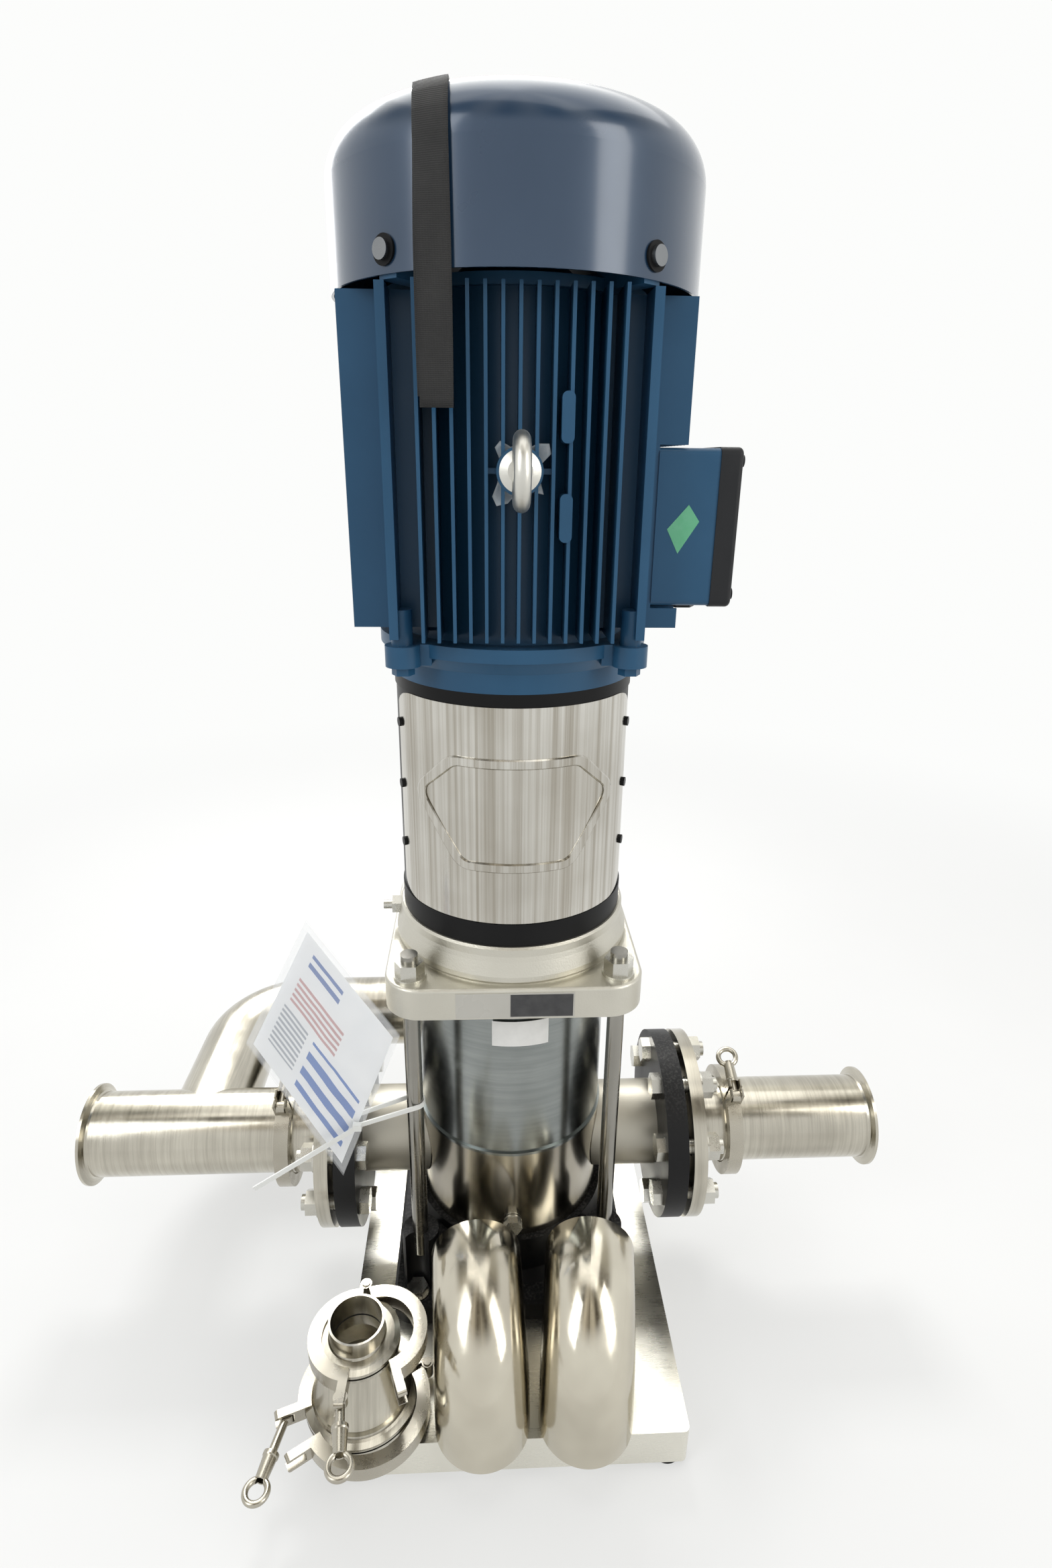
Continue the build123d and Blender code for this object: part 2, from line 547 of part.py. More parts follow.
def swing_bolt():
    """Bolt along +Y from its pin at the origin, with its eye about Z."""
    eye = cyl(SWING_EYE_R, -4.2, 4.2)
    shank = Rot(-90, 0, 0) * cyl(SWING_SHANK_R, 0, SWING_LEN)
    return eye + shank - cyl(SWING_PIN_R + RUN_GAP, -5, 5)


def eye_nut():
    """Nut along +Y from its seat at the origin, ending in a closed ring."""
    turn = Rot(-90, 0, 0)
    body = turn * turned((0, 0), (NUT_BODY_R + 0.8, 0), (NUT_BODY_R + 0.8, 3), (NUT_BODY_R, 4),
                         (NUT_BODY_R - 1, NUT_BODY_L), (0, NUT_BODY_L))
    loop = Pos(0, NUT_BODY_L + NUT_RING_R - 1, 0) * Torus(NUT_RING_R, NUT_RING_WIRE)
    bore = turn * cyl(SWING_SHANK_R + RUN_GAP, -1, NUT_BODY_L + NUT_RING_R - 2)
    return body + loop - bore


def clamp_set(place, rim_r, open_deg, swing_deg, nut_at, nut_turn=0.0):
    """A whole clamp at place, its far half turned open about the hinge, its nut turned on the thread."""
    outer, hinge_r, pin_r = clamp_sizes(rim_r)
    w = CLAMP_W / 2
    opened = Pos(-hinge_r, 0, 0) * Rot(0, 0, open_deg) * Pos(hinge_r, 0, 0)
    hinge_pin = cyl(HINGE_PIN_R, -w, w, -hinge_r) + cyl(HINGE_PIN_R + 1.2, w, w + 1.4, -hinge_r)
    pin_y = -EAR_SPLIT - EAR_T / 2
    swing_pin = cyl(SWING_PIN_R, -w, w, pin_r, pin_y)
    near = clamp_half(rim_r, True) - cyl(SWING_PIN_R, -w, w, pin_r, pin_y)
    swung = Pos(pin_r, pin_y, 0) * Rot(0, 0, swing_deg)
    swung = place * swung
    return {"near_half": place * near, "far_half": place * opened * clamp_half(rim_r, False),
            "pins": place * group(hinge_pin, swing_pin), "swing_bolt": swung * swing_bolt(),
            "eye_nut": swung * Pos(0, nut_at, 0) * Rot(0, nut_turn, 0) * eye_nut()}


def make_clamps():
    seat = EAR_SPLIT * 2 + EAR_T * 1.5
    closed = []
    rolls = {"inlet": Rot(0, 0, -CLAMP_ROLL), "outlet": Rot(0, 0, 180 + CLAMP_ROLL) * Rot(180, 0, 0)}
    for name, turn in (("inlet", to_left), ("outlet", to_x)):
        at = turn(Pos(0, 0, CLAMP_X) * rolls[name])
        pieces = clamp_set(at, FERRULE_R, 0, 0, seat, FITTED_NUT_DEG)
        nodes[name + "_clamp_eye_nut"] = pieces.pop("eye_nut")
        closed.append(pieces)
    low, high, top = loose_levels()
    lower = Pos(LOOSE_X, LOOSE_Y, low + SEAL_T / 2) * Rot(0, 0, LOWER_HINGE_DEG - 180)
    upper = Pos(LOOSE_X, LOOSE_Y, high + SEAL_T / 2) * Rot(0, 0, UPPER_HINGE_DEG - 180)
    loose = {"lower": clamp_set(lower, FERRULE_R, LOWER_OPEN_DEG, LOWER_SWING_DEG, LOWER_NUT),
             "upper": clamp_set(upper, SMALL_FERRULE_R, UPPER_OPEN_DEG, UPPER_SWING_DEG, UPPER_NUT)}
    for name, pieces in loose.items():
        for piece in ("far_half", "swing_bolt", "eye_nut"):
            nodes[f"{name}_clamp_{piece}"] = pieces[piece]
    nodes["loose_clamp_near_halves"] = group(*[p["near_half"] for p in loose.values()])
    nodes["fitted_clamp_halves"] = group(*[p[half] for p in closed for half in ("near_half", "far_half")])
    nodes["fitted_clamp_bolts"] = group(*[p["swing_bolt"] for p in closed])
    nodes["clamp_pins"] = group(*[p["pins"] for p in (*closed, *loose.values())])


# ---------------------------------------------------------------- motor stool and guards
def make_stool():
    ri = STOOL_R - STOOL_WALL
    stool = ring(STOOL_R, ri, NECK_TOP, STOOL_TOP)
    stool += ring(STOOL_R, 76, NECK_TOP, NECK_TOP + 12) + ring(STOOL_R, SPIGOT_R, STOOL_TOP - 12, STOOL_TOP)
    reach = STOOL_R + 5
    half_x = STOOL_R * sin(radians(WINDOW_HALF_DEG))
    window = ring(reach, ri - 3, WINDOW_Z0, WINDOW_Z1)
    stool -= window & block(-half_x, half_x, -reach, reach, WINDOW_Z0, WINDOW_Z1)
    stool -= ring(reach, GUARD_SEAT_R, GUARD_Z0 - 1, GUARD_Z1 + 1)
    for x, y in corners(STOOL_BOLT_AT, STOOL_BOLT_AT):
        stool -= cyl(6, STOOL_TOP - 12, STOOL_TOP, x, y)
    sheet_r = GUARD_SEAT_R + GUARD_T
    sheet = ring(sheet_r, GUARD_SEAT_R, GUARD_Z0, GUARD_Z1)
    outline = hex_panel(0) - hex_panel(PANEL_RIDGE)
    press = extrude(Plane.XZ * Pos(0, PANEL_Z) * outline, reach, dir=(0, -1, 0))
    rib = ring(sheet_r + PANEL_RAISE, sheet_r - 0.2, PANEL_Z - PANEL_H, PANEL_Z + PANEL_H) & press
    crest = rib.faces().filter_by(GeomType.CYLINDER).sort_by(lambda f: f.radius)[-1]
    rib = chamfer(crest.edges(), PANEL_RAISE - 0.4, PANEL_RAISE - 0.4)
    cut_x = GUARD_SEAT_R * sin(radians(GUARD_HALF_DEG))
    front = sheet & rounded_side(cut_x, -reach, 0)
    back = sheet & rounded_side(cut_x, 0, reach)
    screws = [turn * guard_screw() for turn in guard_screw_places()]
    for turn in guard_screw_places():
        hole = turn * cyl(GUARD_SCREW_R, GUARD_SEAT_R - 8, sheet_r + 1)
        front -= hole
        back -= hole
        stool -= hole
    nodes["motor_stool"] = stool
    nodes["front_guard"] = front + rib
    nodes["rear_guard"] = back
    nodes["cover_and_guard_screws"] = group(*screws)


def guard_screw_places():
    """The turns that bring +Z to the guards' screws, three at each upright edge."""
    edge = 90 - GUARD_HALF_DEG + 4.5
    return [Rot(0, 0, a) * Pos(0, 0, z) * Rot(0, 90, 0)
            for a in (edge, -edge, 180 - edge, 180 + edge) for z in GUARD_SCREW_Z]


def guard_screw():
    face = GUARD_SEAT_R + GUARD_T
    return cyl(GUARD_SCREW_R, GUARD_SEAT_R - 8, face) + cyl(GUARD_SCREW_HEAD_R, face, face + 2.4)


def hex_panel(inset):
    """Six-sided panel outline, widest above its middle."""
    w, h = PANEL_W / 2 - inset, PANEL_H / 2 - inset
    side_z, top_x, low_x = PANEL_H * 0.13, w * 0.64, w * 0.56
    sketch = Polygon((-w, side_z), (-top_x, h), (top_x, h), (w, side_z), (low_x, -h), (-low_x, -h), align=None)
    return fillet(sketch.vertices(), PANEL_CORNER - inset)


def rounded_side(cut_x, y0, y1):
    body = block(-cut_x, cut_x, y0, y1, GUARD_Z0, GUARD_Z1)
    return fillet(body.edges().filter_by(Axis.Y), 14)


# ---------------------------------------------------------------- motor
def make_drive_end():
    z0 = STOOL_TOP
    shield = turned((SHAFT_R + 12, z0 - SPIGOT_H), (SPIGOT_R, z0 - SPIGOT_H), (SPIGOT_R, z0), (STOOL_R, z0),
                    (STOOL_R, z0 + 16),
                    (BAND_R - 4, SHIELD_TOP - BAND_H), (BAND_R, SHIELD_TOP - BAND_H), (BAND_R, SHIELD_TOP),
                    (70, SHIELD_TOP), (70, z0 + 14), (SHAFT_R + 12, z0 + 14))
    seat = ring(BEARING_R + 6, BEARING_R, z0 + 8, z0 + 8 + BEARING_H)
    shield += seat
    shield -= cyl(BEARING_R, z0 + 8, z0 + 8 + BEARING_H)
    for x, y in corners(EAR_X, EAR_Y):
        lug = cyl(EAR_LUG_R, SHIELD_TOP - EAR_H, SHIELD_TOP, x, y)
        xs, ys = sorted((x, x * 0.75)), sorted((y, y * 0.75))
        inner = block(*xs, *ys, SHIELD_TOP - EAR_H, SHIELD_TOP)
        shield += lug + (inner - cyl(90, SHIELD_TOP - EAR_H - 1, SHIELD_TOP + 1))
        shield -= cyl(EAR_BOLT_R, SHIELD_TOP - EAR_H, SHIELD_TOP, x, y)
    for x, y in corners(STOOL_BOLT_AT, STOOL_BOLT_AT):
        shield -= cyl(6, z0, z0 + 14, x, y)
    nodes["drive_end_shield"] = shield
    bolt = hexagon(16, -7, 0) + cyl(EAR_BOLT_R, 0, EAR_H + 24)
    ear_bolts = [Pos(x, y, SHIELD_TOP - EAR_H) * bolt for x, y in corners(EAR_X, EAR_Y)]
    stool_bolt = hexagon(19, -8, 0) + cyl(6, 0, 26)
    stool_bolts = [Pos(x, y, STOOL_TOP - 12) * stool_bolt for x, y in corners(STOOL_BOLT_AT, STOOL_BOLT_AT)]
    nodes["motor_bolts"] = group(*ear_bolts, *stool_bolts)


def make_frame():
    z0, z1 = SHIELD_TOP, FRAME_TOP
    frame = cyl(FRAME_R, z0, z1)
    lift = 6.0
    for k in range(FRONT_FINS):
        x = (k - (FRONT_FINS - 1) / 2) * FIN_PITCH
        frame += block(x - FIN_T / 2, x + FIN_T / 2, -FIN_TIP_Y, FIN_TIP_Y, z0 + lift, z1)
    for k in range(SIDE_FINS):
        y = (k - (SIDE_FINS - 1) / 2) * FIN_PITCH
        frame += block(-FIN_TIP_X, FIN_TIP_X, y - FIN_T / 2, y + FIN_T / 2, z0 + lift + 4, z1)
    for x in (-CORNER_FIN_X, CORNER_FIN_X):
        frame += block(x - CORNER_FIN_T / 2, x + CORNER_FIN_T / 2, -108, 108, z0 + lift, z1)
    for x, y in corners(EAR_X, EAR_Y):
        frame += cyl(EAR_COLUMN_R, z0, EAR_COLUMN_TOP, x, y)
        frame -= cyl(EAR_BOLT_R, z0, z0 + 25, x, y)
    frame += Pos(0, 0, EYE_Z) * Rot(90, 0, 0) * cyl(BOSS_R, 0, EYE_SEAT)
    frame += block(-2 * FIN_PITCH, 2 * FIN_PITCH, -112, -FRAME_R + 5, EYE_Z - 2, EYE_Z + 2)
    pad = block(FRAME_R - 10, BOX_X0, -BOX_Y + 8, BOX_Y - 8, BOX_Z0 + 8, BOX_Z1 - 8)
    clear = block(BOX_X0, FIN_TIP_X + 1, -BOX_Y - 2, BOX_Y + 2, BOX_Z0 - 2, BOX_Z1 + 2)
    frame = frame + pad - clear - cyl(FRAME_BORE, z0, z1)
    frame -= Pos(0, 0, EYE_Z) * Rot(90, 0, 0) * cyl(6, FRAME_BORE + 4, EYE_SEAT)
    for z in (EYE_Z + 36, EYE_Z - 32):
        drop = block(-BOSS_HALF, BOSS_HALF, -FIN_TIP_Y - 2, -100, z - 17, z + 17)
        drop = fillet(drop.edges().filter_by(Axis.Y), BOSS_HALF - 0.5)
        frame += Pos(FIN_PITCH * 3 - 2.5, 0, 0) * drop
    nodes["motor_frame"] = frame


def make_upper_shield():
    z0 = FRAME_TOP
    top = z0 + 26
    shield = turned((BEARING_R, z0 - 2), (FRAME_BORE, z0 - 2), (FRAME_BORE, z0), (FRAME_R + 6, z0),
                    (FRAME_R + 6, z0 + 8), (60, z0 + 12), (BEARING_R + 7, top), (BEARING_R, top))
    shield += ring(BEARING_R + 7, SHAFT_R + 4, top - 5, top)
    reach = COVER_R - COVER_WALL
    for a in cover_angles():
        arm = block(FRAME_R - 2, reach + 1, -8, 8, z0 + 0.5, COVER_SCREW_Z + 8) & cyl(reach, z0, z0 + 60)
        shield += Rot(0, 0, a) * arm
        shield -= Rot(0, 0, a) * Pos(0, 0, COVER_SCREW_Z) * Rot(0, 90, 0) * cyl(3, reach - 16, reach + 1)
    nodes["upper_end_shield"] = shield


def cover_angles():
    a = 90 - COVER_SCREW_DEG
    return (a, 180 - a, 180 + a, -a)


def hood(r, top, z0, shoulder=COVER_SHOULDER):
    """Solid hood about Z: straight wall, rounded shoulder and a shallow crown."""
    crown_r = (r * r + COVER_CROWN ** 2) / (2 * COVER_CROWN)
    walls = Polyline((0, top), (0, z0), (r, z0), (r, top - COVER_CROWN))
    half = make_face(walls + RadiusArc((r, top - COVER_CROWN), (0, top), -crown_r))
    corner = half.vertices().filter_by(lambda v: v.Y > z0 + 1).sort_by(Axis.X)[-1]
    return revolve(Plane.XZ * fillet(corner, shoulder), Axis.Z)


def make_cover():
    outer = hood(COVER_R, COVER_TOP, COVER_Z0)
    cover = outer - hood(COVER_R - COVER_WALL, COVER_TOP - COVER_WALL, COVER_Z0 - 1)
    for count, r0, r1, width in GRILLE:
        for k in range(count):
            slot = block(r0, r1, -width / 2, width / 2, COVER_TOP - 20, COVER_TOP + 5)
            cover -= Rot(0, 0, 360 / count * k) * slot
    screws, washers = [], []
    for a in cover_angles():
        turn = Rot(0, 0, a) * Pos(0, 0, COVER_SCREW_Z) * Rot(0, 90, 0)
        cover -= turn * cyl(3, COVER_R - 20, COVER_R + 5)
        seat = COVER_R
        washers.append(turn * ring(9.5, 3, seat, seat + 1.6))
        screws.append(turn * (cyl(3, COVER_R - 17, seat + 1.6) + cyl(6.5, seat + 1.6, seat + 5)))
    nodes["fan_cover"] = cover
    guard_screws = nodes["cover_and_guard_screws"]
    nodes["cover_and_guard_screws"] = group(guard_screws, *screws, *washers)


def make_terminal_box():
    x0, x1 = BOX_X0, BOX_X1
    shell = fillet(block(x0, x1, -BOX_Y, BOX_Y, BOX_Z0, BOX_Z1).edges().filter_by(Axis.X), 5)
    w = BOX_WALL
    shell -= block(x0 + w, x1, w - BOX_Y, BOX_Y - w, BOX_Z0 + w, BOX_Z1 - w)
    gland_x = FIN_TIP_X + ENTRY_R + 3.1
    for y in (-28, 28):
        shell -= cyl(ENTRY_R, BOX_Z0, BOX_Z0 + w, gland_x, y)
    nodes["terminal_box"] = shell
    lid = block(x1, x1 + LID_T, -BOX_Y - 1, BOX_Y + 1, BOX_Z0 - 1, BOX_Z1 + 1)
    lid = fillet(lid.edges().filter_by(Axis.X), 6)
    lid = fillet(lid.faces().sort_by(Axis.X)[-1].edges(), 4)
    nodes["terminal_box_lid"] = lid
    screws = []
    for y, z in corners(BOX_Y - 9, (BOX_Z1 - BOX_Z0) / 2 - 9):
        screws.append(to_x(cyl(4.5, x1 + LID_T, x1 + LID_T + 2), 0, y, (BOX_Z0 + BOX_Z1) / 2 + z))
    plug = hexagon(2 * ENTRY_R + 1, -7, 0) + cyl(ENTRY_R, 0, BOX_WALL + 4)
    plugs = [Pos(gland_x, y, BOX_Z0) * plug for y in (-28, 28)]
    nodes["terminal_box_plugs_and_screws"] = group(*plugs, *screws)
    board = block(x0 + w, x0 + w + 12, -35, 35, BOX_Z0 + 40, BOX_Z1 - 40)
    for y in (-22, 0, 22):
        for z in (-9, 9):
            board += to_x(cyl(2.5, x0 + w + 12, x0 + w + 22), 0, y, (BOX_Z0 + BOX_Z1) / 2 + z)
    nodes["terminal_board"] = board


def make_lifting_eye():
    turn = Pos(0, -EYE_SEAT, EYE_Z) * Rot(90, 0, 0)
    collar = cyl(6, -25, 0) + turned((0, 0), (15, 0), (15, 5), (9, 9), (0, 9))
    loop = Pos(0, 0, EYE_RING_H) * Rot(0, 90, 0) * Torus(EYE_RING_R, EYE_WIRE)
    nodes["lifting_eye"] = turn * (collar + loop)


def make_stator():
    core = ring(FRAME_BORE, STATOR_RI, CORE_Z0, CORE_Z1)
    low = ring(FRAME_BORE - 5, STATOR_RI + 3, CORE_Z0 - 28, CORE_Z0)
    high = ring(FRAME_BORE - 5, STATOR_RI + 3, CORE_Z1, CORE_Z1 + 28)
    nodes["stator"] = group(core, low, high)
    bearing = ring(BEARING_R, SHAFT_R + RUN_GAP, 0, BEARING_H)
    upper = FRAME_TOP + 2
    nodes["motor_bearings"] = group(Pos(0, 0, STOOL_TOP + 8) * bearing, Pos(0, 0, upper) * bearing)


# ---------------------------------------------------------------- rotor line
def make_rotor():
    nodes["motor_shaft"] = cyl(SHAFT_R, COUPLING_MID + 2, FAN_Z1 + 2)
    rotor = ring(STATOR_RI - AIR_GAP, SHAFT_R, CORE_Z0, CORE_Z1)
    nodes["rotor_core"] = rotor
    nodes["pump_shaft"] = cyl(PUMP_SHAFT_R, CHAMBER_Z0 + 2, COUPLING_MID - 2)
    half = ring(COUPLING_R, PUMP_SHAFT_R, COUPLING_Z0, COUPLING_MID)
    half += ring(COUPLING_R, SHAFT_R, COUPLING_MID, COUPLING_Z1)
    for x, y in corners(0, 26):
        for z in (COUPLING_Z0 + 14, COUPLING_Z1 - 14):
            half -= Pos(0, y, z) * Rot(0, 90, 0) * cyl(4, -COUPLING_R, COUPLING_R)
    split = block(-1, 1, -COUPLING_R, COUPLING_R, COUPLING_Z0, COUPLING_Z1)
    split -= cyl(SHAFT_R + 1, COUPLING_Z0, COUPLING_Z1)
    nodes["coupling"] = half - split
    fan = ring(30, SHAFT_R, FAN_Z0, FAN_Z1) + ring(FAN_R, 28, FAN_Z0, FAN_Z0 + 3)
    for k in range(9):
        fan += Rot(0, 0, 40 * k) * block(27, FAN_R, -1.5, 1.5, FAN_Z0, FAN_Z1)
    nodes["cooling_fan"] = fan


# ---------------------------------------------------------------- soft pieces
def make_strap():
    """Webbing loop hung over the fan cover: it lies on the crown and hangs straight down in front."""
    x0, x1 = STRAP_X - STRAP_W / 2, STRAP_X + STRAP_W / 2
    inner_r = COVER_R + SOFT_GAP
    reach = sqrt(inner_r ** 2 - x1 ** 2)
    edge = COVER_TOP - COVER_SHOULDER

    def body(d):
        over = hood(inner_r + d, COVER_TOP + SOFT_GAP + d, COVER_Z0, COVER_SHOULDER + d)
        over &= block(x0, x1, -inner_r - d, STRAP_BACK, edge, COVER_TOP + 10)
        return over + block(x0, x1, -reach - d, 0, STRAP_LOW, edge)

    cut = block(x0 - 1, x1 + 1, -reach, STRAP_BACK + 1, STRAP_LOW - 1, edge)
    nodes["lifting_strap"] = body(STRAP_T) - body(0) - cut


def make_bag():
    face = Polygon(*BAG_CORNERS, align=None)
    across = sqrt(TIE_EYE_R ** 2 - (BAG_Y - BAG_T / 2 - TIE_EYE_Y) ** 2)
    x, z = TIE_EYE_X - across - TIE_T / 2, TIE_Z + TIE_W / 2
    hole = Pos(x, z) * Rectangle(2 * TIE_T + 2, TIE_W + 2)
    bag = extrude(Plane.XZ * (face - hole), BAG_T, dir=(0, -1, 0))
    nodes["document_bag"] = Pos(0, BAG_Y, 0) * bag


def strip(start, end, width, thickness):
    """Flat strip between two points, its width upright."""
    along = Vector(*end) - Vector(*start)
    across = along.cross(Vector(0, 0, 1)).normalized()
    plane = Plane(origin=start, x_dir=along, z_dir=across)
    return plane * Pos(along.length / 2, 0, 0) * Box(along.length, width, thickness)


def make_tie():
    """Cable tie: a loop round the front left tie rod and through the bag, and its tail."""
    ends = ((-ROD_AT, -ROD_AT, ROD_R + SOFT_GAP), (TIE_EYE_X, TIE_EYE_Y, TIE_EYE_R))

    def hull(extra):
        rounds = [Pos(x, y) * Circle(r + extra) for x, y, r in ends]
        return make_hull(rounds[0].edges() + rounds[1].edges())

    loop = Pos(0, 0, TIE_Z) * extrude(hull(TIE_T) - hull(0), TIE_W)
    x0, y0 = TIE_EYE_X - 1, TIE_EYE_Y - TIE_EYE_R - TIE_T / 2
    head = block(x0 - 4, x0 + 4, y0 - 5, y0, TIE_Z - 1, TIE_Z + TIE_W + 1)
    tail = strip((x0, y0 - 3.2, TIE_Z + TIE_W / 2), TIE_END, TIE_W, TIE_T)
    nodes["cable_tie"] = loop + head + tail


def main():
    make_skid()
    make_base()
    make_housing()
    make_sleeve()
    make_stages()
    make_head()
    make_tie_rods()
    make_shaft_seal()
    make_flanges()
    make_spools()
    make_elbows()
    make_reducer()
    make_clamps()
    make_stool()
    make_drive_end()
    make_frame()
    make_upper_shield()
    make_cover()
    make_terminal_box()
    make_lifting_eye()
    make_stator()
    make_rotor()
    make_strap()
    make_bag()
    make_tie()
    whole = Compound(children=solids(nodes.values())).bounding_box()
    shift = Pos(-whole.center().X, -whole.center().Y, -whole.min.Z)
    os.makedirs("parts", exist_ok=True)
    for name, shape in nodes.items():
        export_step(Compound(children=[shift * s for s in shape.solids()]), f"parts/{name}.step")
    size = whole.size
    print(len(nodes), "nodes, size", [round(v, 1) for v in (size.X, size.Y, size.Z)], "moved by", shift.position)


main()
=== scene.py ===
"""Looks of the vertical multistage pump: finishes for the CAD nodes, the soft pieces, labels,
camera, light and floor. Metres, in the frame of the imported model."""
import math
import random

import bmesh
import bpy
from mathutils import Matrix, Vector, noise


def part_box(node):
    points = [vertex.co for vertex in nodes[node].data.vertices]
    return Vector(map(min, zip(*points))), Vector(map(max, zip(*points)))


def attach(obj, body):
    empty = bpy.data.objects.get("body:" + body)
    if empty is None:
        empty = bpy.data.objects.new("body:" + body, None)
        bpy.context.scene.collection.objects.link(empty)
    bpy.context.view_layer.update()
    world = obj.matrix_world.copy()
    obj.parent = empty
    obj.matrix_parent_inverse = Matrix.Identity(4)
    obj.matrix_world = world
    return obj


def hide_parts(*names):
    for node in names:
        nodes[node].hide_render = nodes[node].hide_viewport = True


MM = 0.001

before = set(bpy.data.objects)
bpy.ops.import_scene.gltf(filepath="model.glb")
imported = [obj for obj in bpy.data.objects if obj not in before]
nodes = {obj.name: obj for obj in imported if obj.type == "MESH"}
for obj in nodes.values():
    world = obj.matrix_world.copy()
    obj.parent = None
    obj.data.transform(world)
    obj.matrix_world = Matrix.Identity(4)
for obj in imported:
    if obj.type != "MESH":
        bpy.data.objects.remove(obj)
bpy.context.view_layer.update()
sleeve_low, sleeve_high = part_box("outer_sleeve")
AXIS = Vector(((sleeve_low.x + sleeve_high.x) / 2, (sleeve_low.y + sleeve_high.y) / 2, 0.0))


def at(x, y, z):
    """A point given in millimetres from the pump's shaft axis and the floor."""
    return AXIS + Vector((x, y, z)) * MM


# ---------------------------------------------------------------- camera
CAMERA_AT = at(-26.4, -766.5, 894.1)
PITCH, YAW, ROLL = (math.radians(d) for d in (20.76, 2.97, 0.717))
SENSOR = 36.0
LENS = 19.48
CLIP_NEAR, CLIP_FAR = 0.01, 50.0


def make_camera():
    """The camera fitted to the photograph: pitched down, turned and slightly rolled."""
    forward = Vector((math.sin(YAW) * math.cos(PITCH), math.cos(YAW) * math.cos(PITCH), -math.sin(PITCH)))
    side = Vector((math.cos(YAW), -math.sin(YAW), 0.0))
    up = side.cross(forward)
    right = side * math.cos(ROLL) + up * math.sin(ROLL)
    up = right.cross(forward)
    data = bpy.data.cameras.new("camera")
    data.sensor_width = SENSOR
    data.lens = LENS
    data.clip_start, data.clip_end = CLIP_NEAR, CLIP_FAR
    camera = bpy.data.objects.new("camera", data)
    bpy.context.scene.collection.objects.link(camera)
    turn = Matrix((right, up, -forward)).transposed()
    camera.matrix_world = Matrix.Translation(CAMERA_AT) @ turn.to_4x4()
    bpy.context.scene.camera = camera


make_camera()


# ---------------------------------------------------------------- node helpers
class Shader:
    """A material being built: makes nodes, joins them and keeps the common inputs."""

    def __init__(self, name, world=False):
        self.material = (bpy.data.worlds if world else bpy.data.materials).new(name)
        self.material.use_nodes = True
        self.tree = self.material.node_tree
        self.tree.nodes.clear()
        self.output = self.node("ShaderNodeOutputWorld" if world else "ShaderNodeOutputMaterial")
        self.place = self.node("ShaderNodeTexCoord").outputs["Generated" if world else "Object"]

    def node(self, kind, inputs=None, **settings):
        made = self.tree.nodes.new(kind)
        for key, value in settings.items():
            setattr(made, key, value)
        for key, value in (inputs or {}).items():
            if isinstance(value, bpy.types.NodeSocket):
                self.tree.links.new(value, made.inputs[key])
            else:
                made.inputs[key].default_value = value
        return made

    def math(self, operation, *values):
        return self.node("ShaderNodeMath", dict(enumerate(values)), operation=operation).outputs[0]

    def hypot(self, x, y):
        """The length of the flat vector (x, y)."""
        return self.math("SQRT", self.math("ADD", self.math("POWER", x, 2.0), self.math("POWER", y, 2.0)))

    def stretched(self, scale):
        mapping = self.node("ShaderNodeMapping", {"Vector": self.place, "Scale": scale})
        return mapping.outputs["Vector"]

    def noise(self, scale, detail=4.0, vector=None, roughness=0.55):
        inputs = {"Vector": vector or self.place, "Scale": scale, "Detail": detail, "Roughness": roughness}
        return self.node("ShaderNodeTexNoise", inputs).outputs["Fac"]

    def ramp(self, value, low, high, to_low=0.0, to_high=1.0):
        inputs = {"Value": value, "From Min": low, "From Max": high, "To Min": to_low, "To Max": to_high}
        return self.node("ShaderNodeMapRange", inputs).outputs["Result"]

    def mix(self, share, first, second):
        made = self.node("ShaderNodeMix", data_type="RGBA")
        for index, value in ((0, share), (6, first), (7, second)):
            if isinstance(value, bpy.types.NodeSocket):
                self.tree.links.new(value, made.inputs[index])
            elif index:
                made.inputs[index].default_value = (*value, 1.0)
            else:
                made.inputs[index].default_value = value
        return made.outputs[2]

    def bump(self, height, strength, distance):
        inputs = {"Height": height, "Strength": strength, "Distance": distance}
        return self.node("ShaderNodeBump", inputs).outputs["Normal"]

    def split(self, vector):
        return self.node("ShaderNodeSeparateXYZ", {"Vector": vector}).outputs

    def tones(self, value, stops):
        """A smooth colour ramp from (position, colour) stops."""
        made = self.node("ShaderNodeValToRGB", {"Fac": value})
        ramp = made.color_ramp
        ramp.interpolation = "EASE"
        while len(ramp.elements) < len(stops):
            ramp.elements.new(0.5)
        for element, (position, tone) in zip(ramp.elements, stops):
            element.position = position
            element.color = (*tone, 1.0)
        return made.outputs["Color"]

    def shine(self, colour, strength):
        """Light given off: a background in the world, an emission in a material."""
        kind = "ShaderNodeBackground" if self.output.bl_idname.endswith("World") else "ShaderNodeEmission"
        return self.node(kind, {"Color": colour, "Strength": strength}).outputs[0]

    def choose(self, share, first, second):
        return self.node("ShaderNodeMixShader", {0: share, 1: first, 2: second}).outputs[0]

    def surface(self, shader):
        self.tree.links.new(shader, self.output.inputs["Surface"])
        return self.material

    def principled(self, inputs):
        return self.surface(self.node("ShaderNodeBsdfPrincipled", inputs).outputs[0])


def from_axis(s):
    """Distance from the pump's shaft axis, in metres."""
    parts = s.split(s.place)
    return s.hypot(s.math("SUBTRACT", parts["X"], AXIS.x), s.math("SUBTRACT", parts["Y"], AXIS.y))


# broad streaking along the grain: partly brushed or turned grain, partly painted reflection bands; these set
# how coarse and detailed it is
STREAK_SHARE = 0.11     # how coarse the broad streaks are beside the grain
STREAK_DETAIL, STREAK_ROUGHNESS = 5.0, 0.7
DUST = (0.42, 0.41, 0.38)
COAT_ROUGHNESS = 0.12


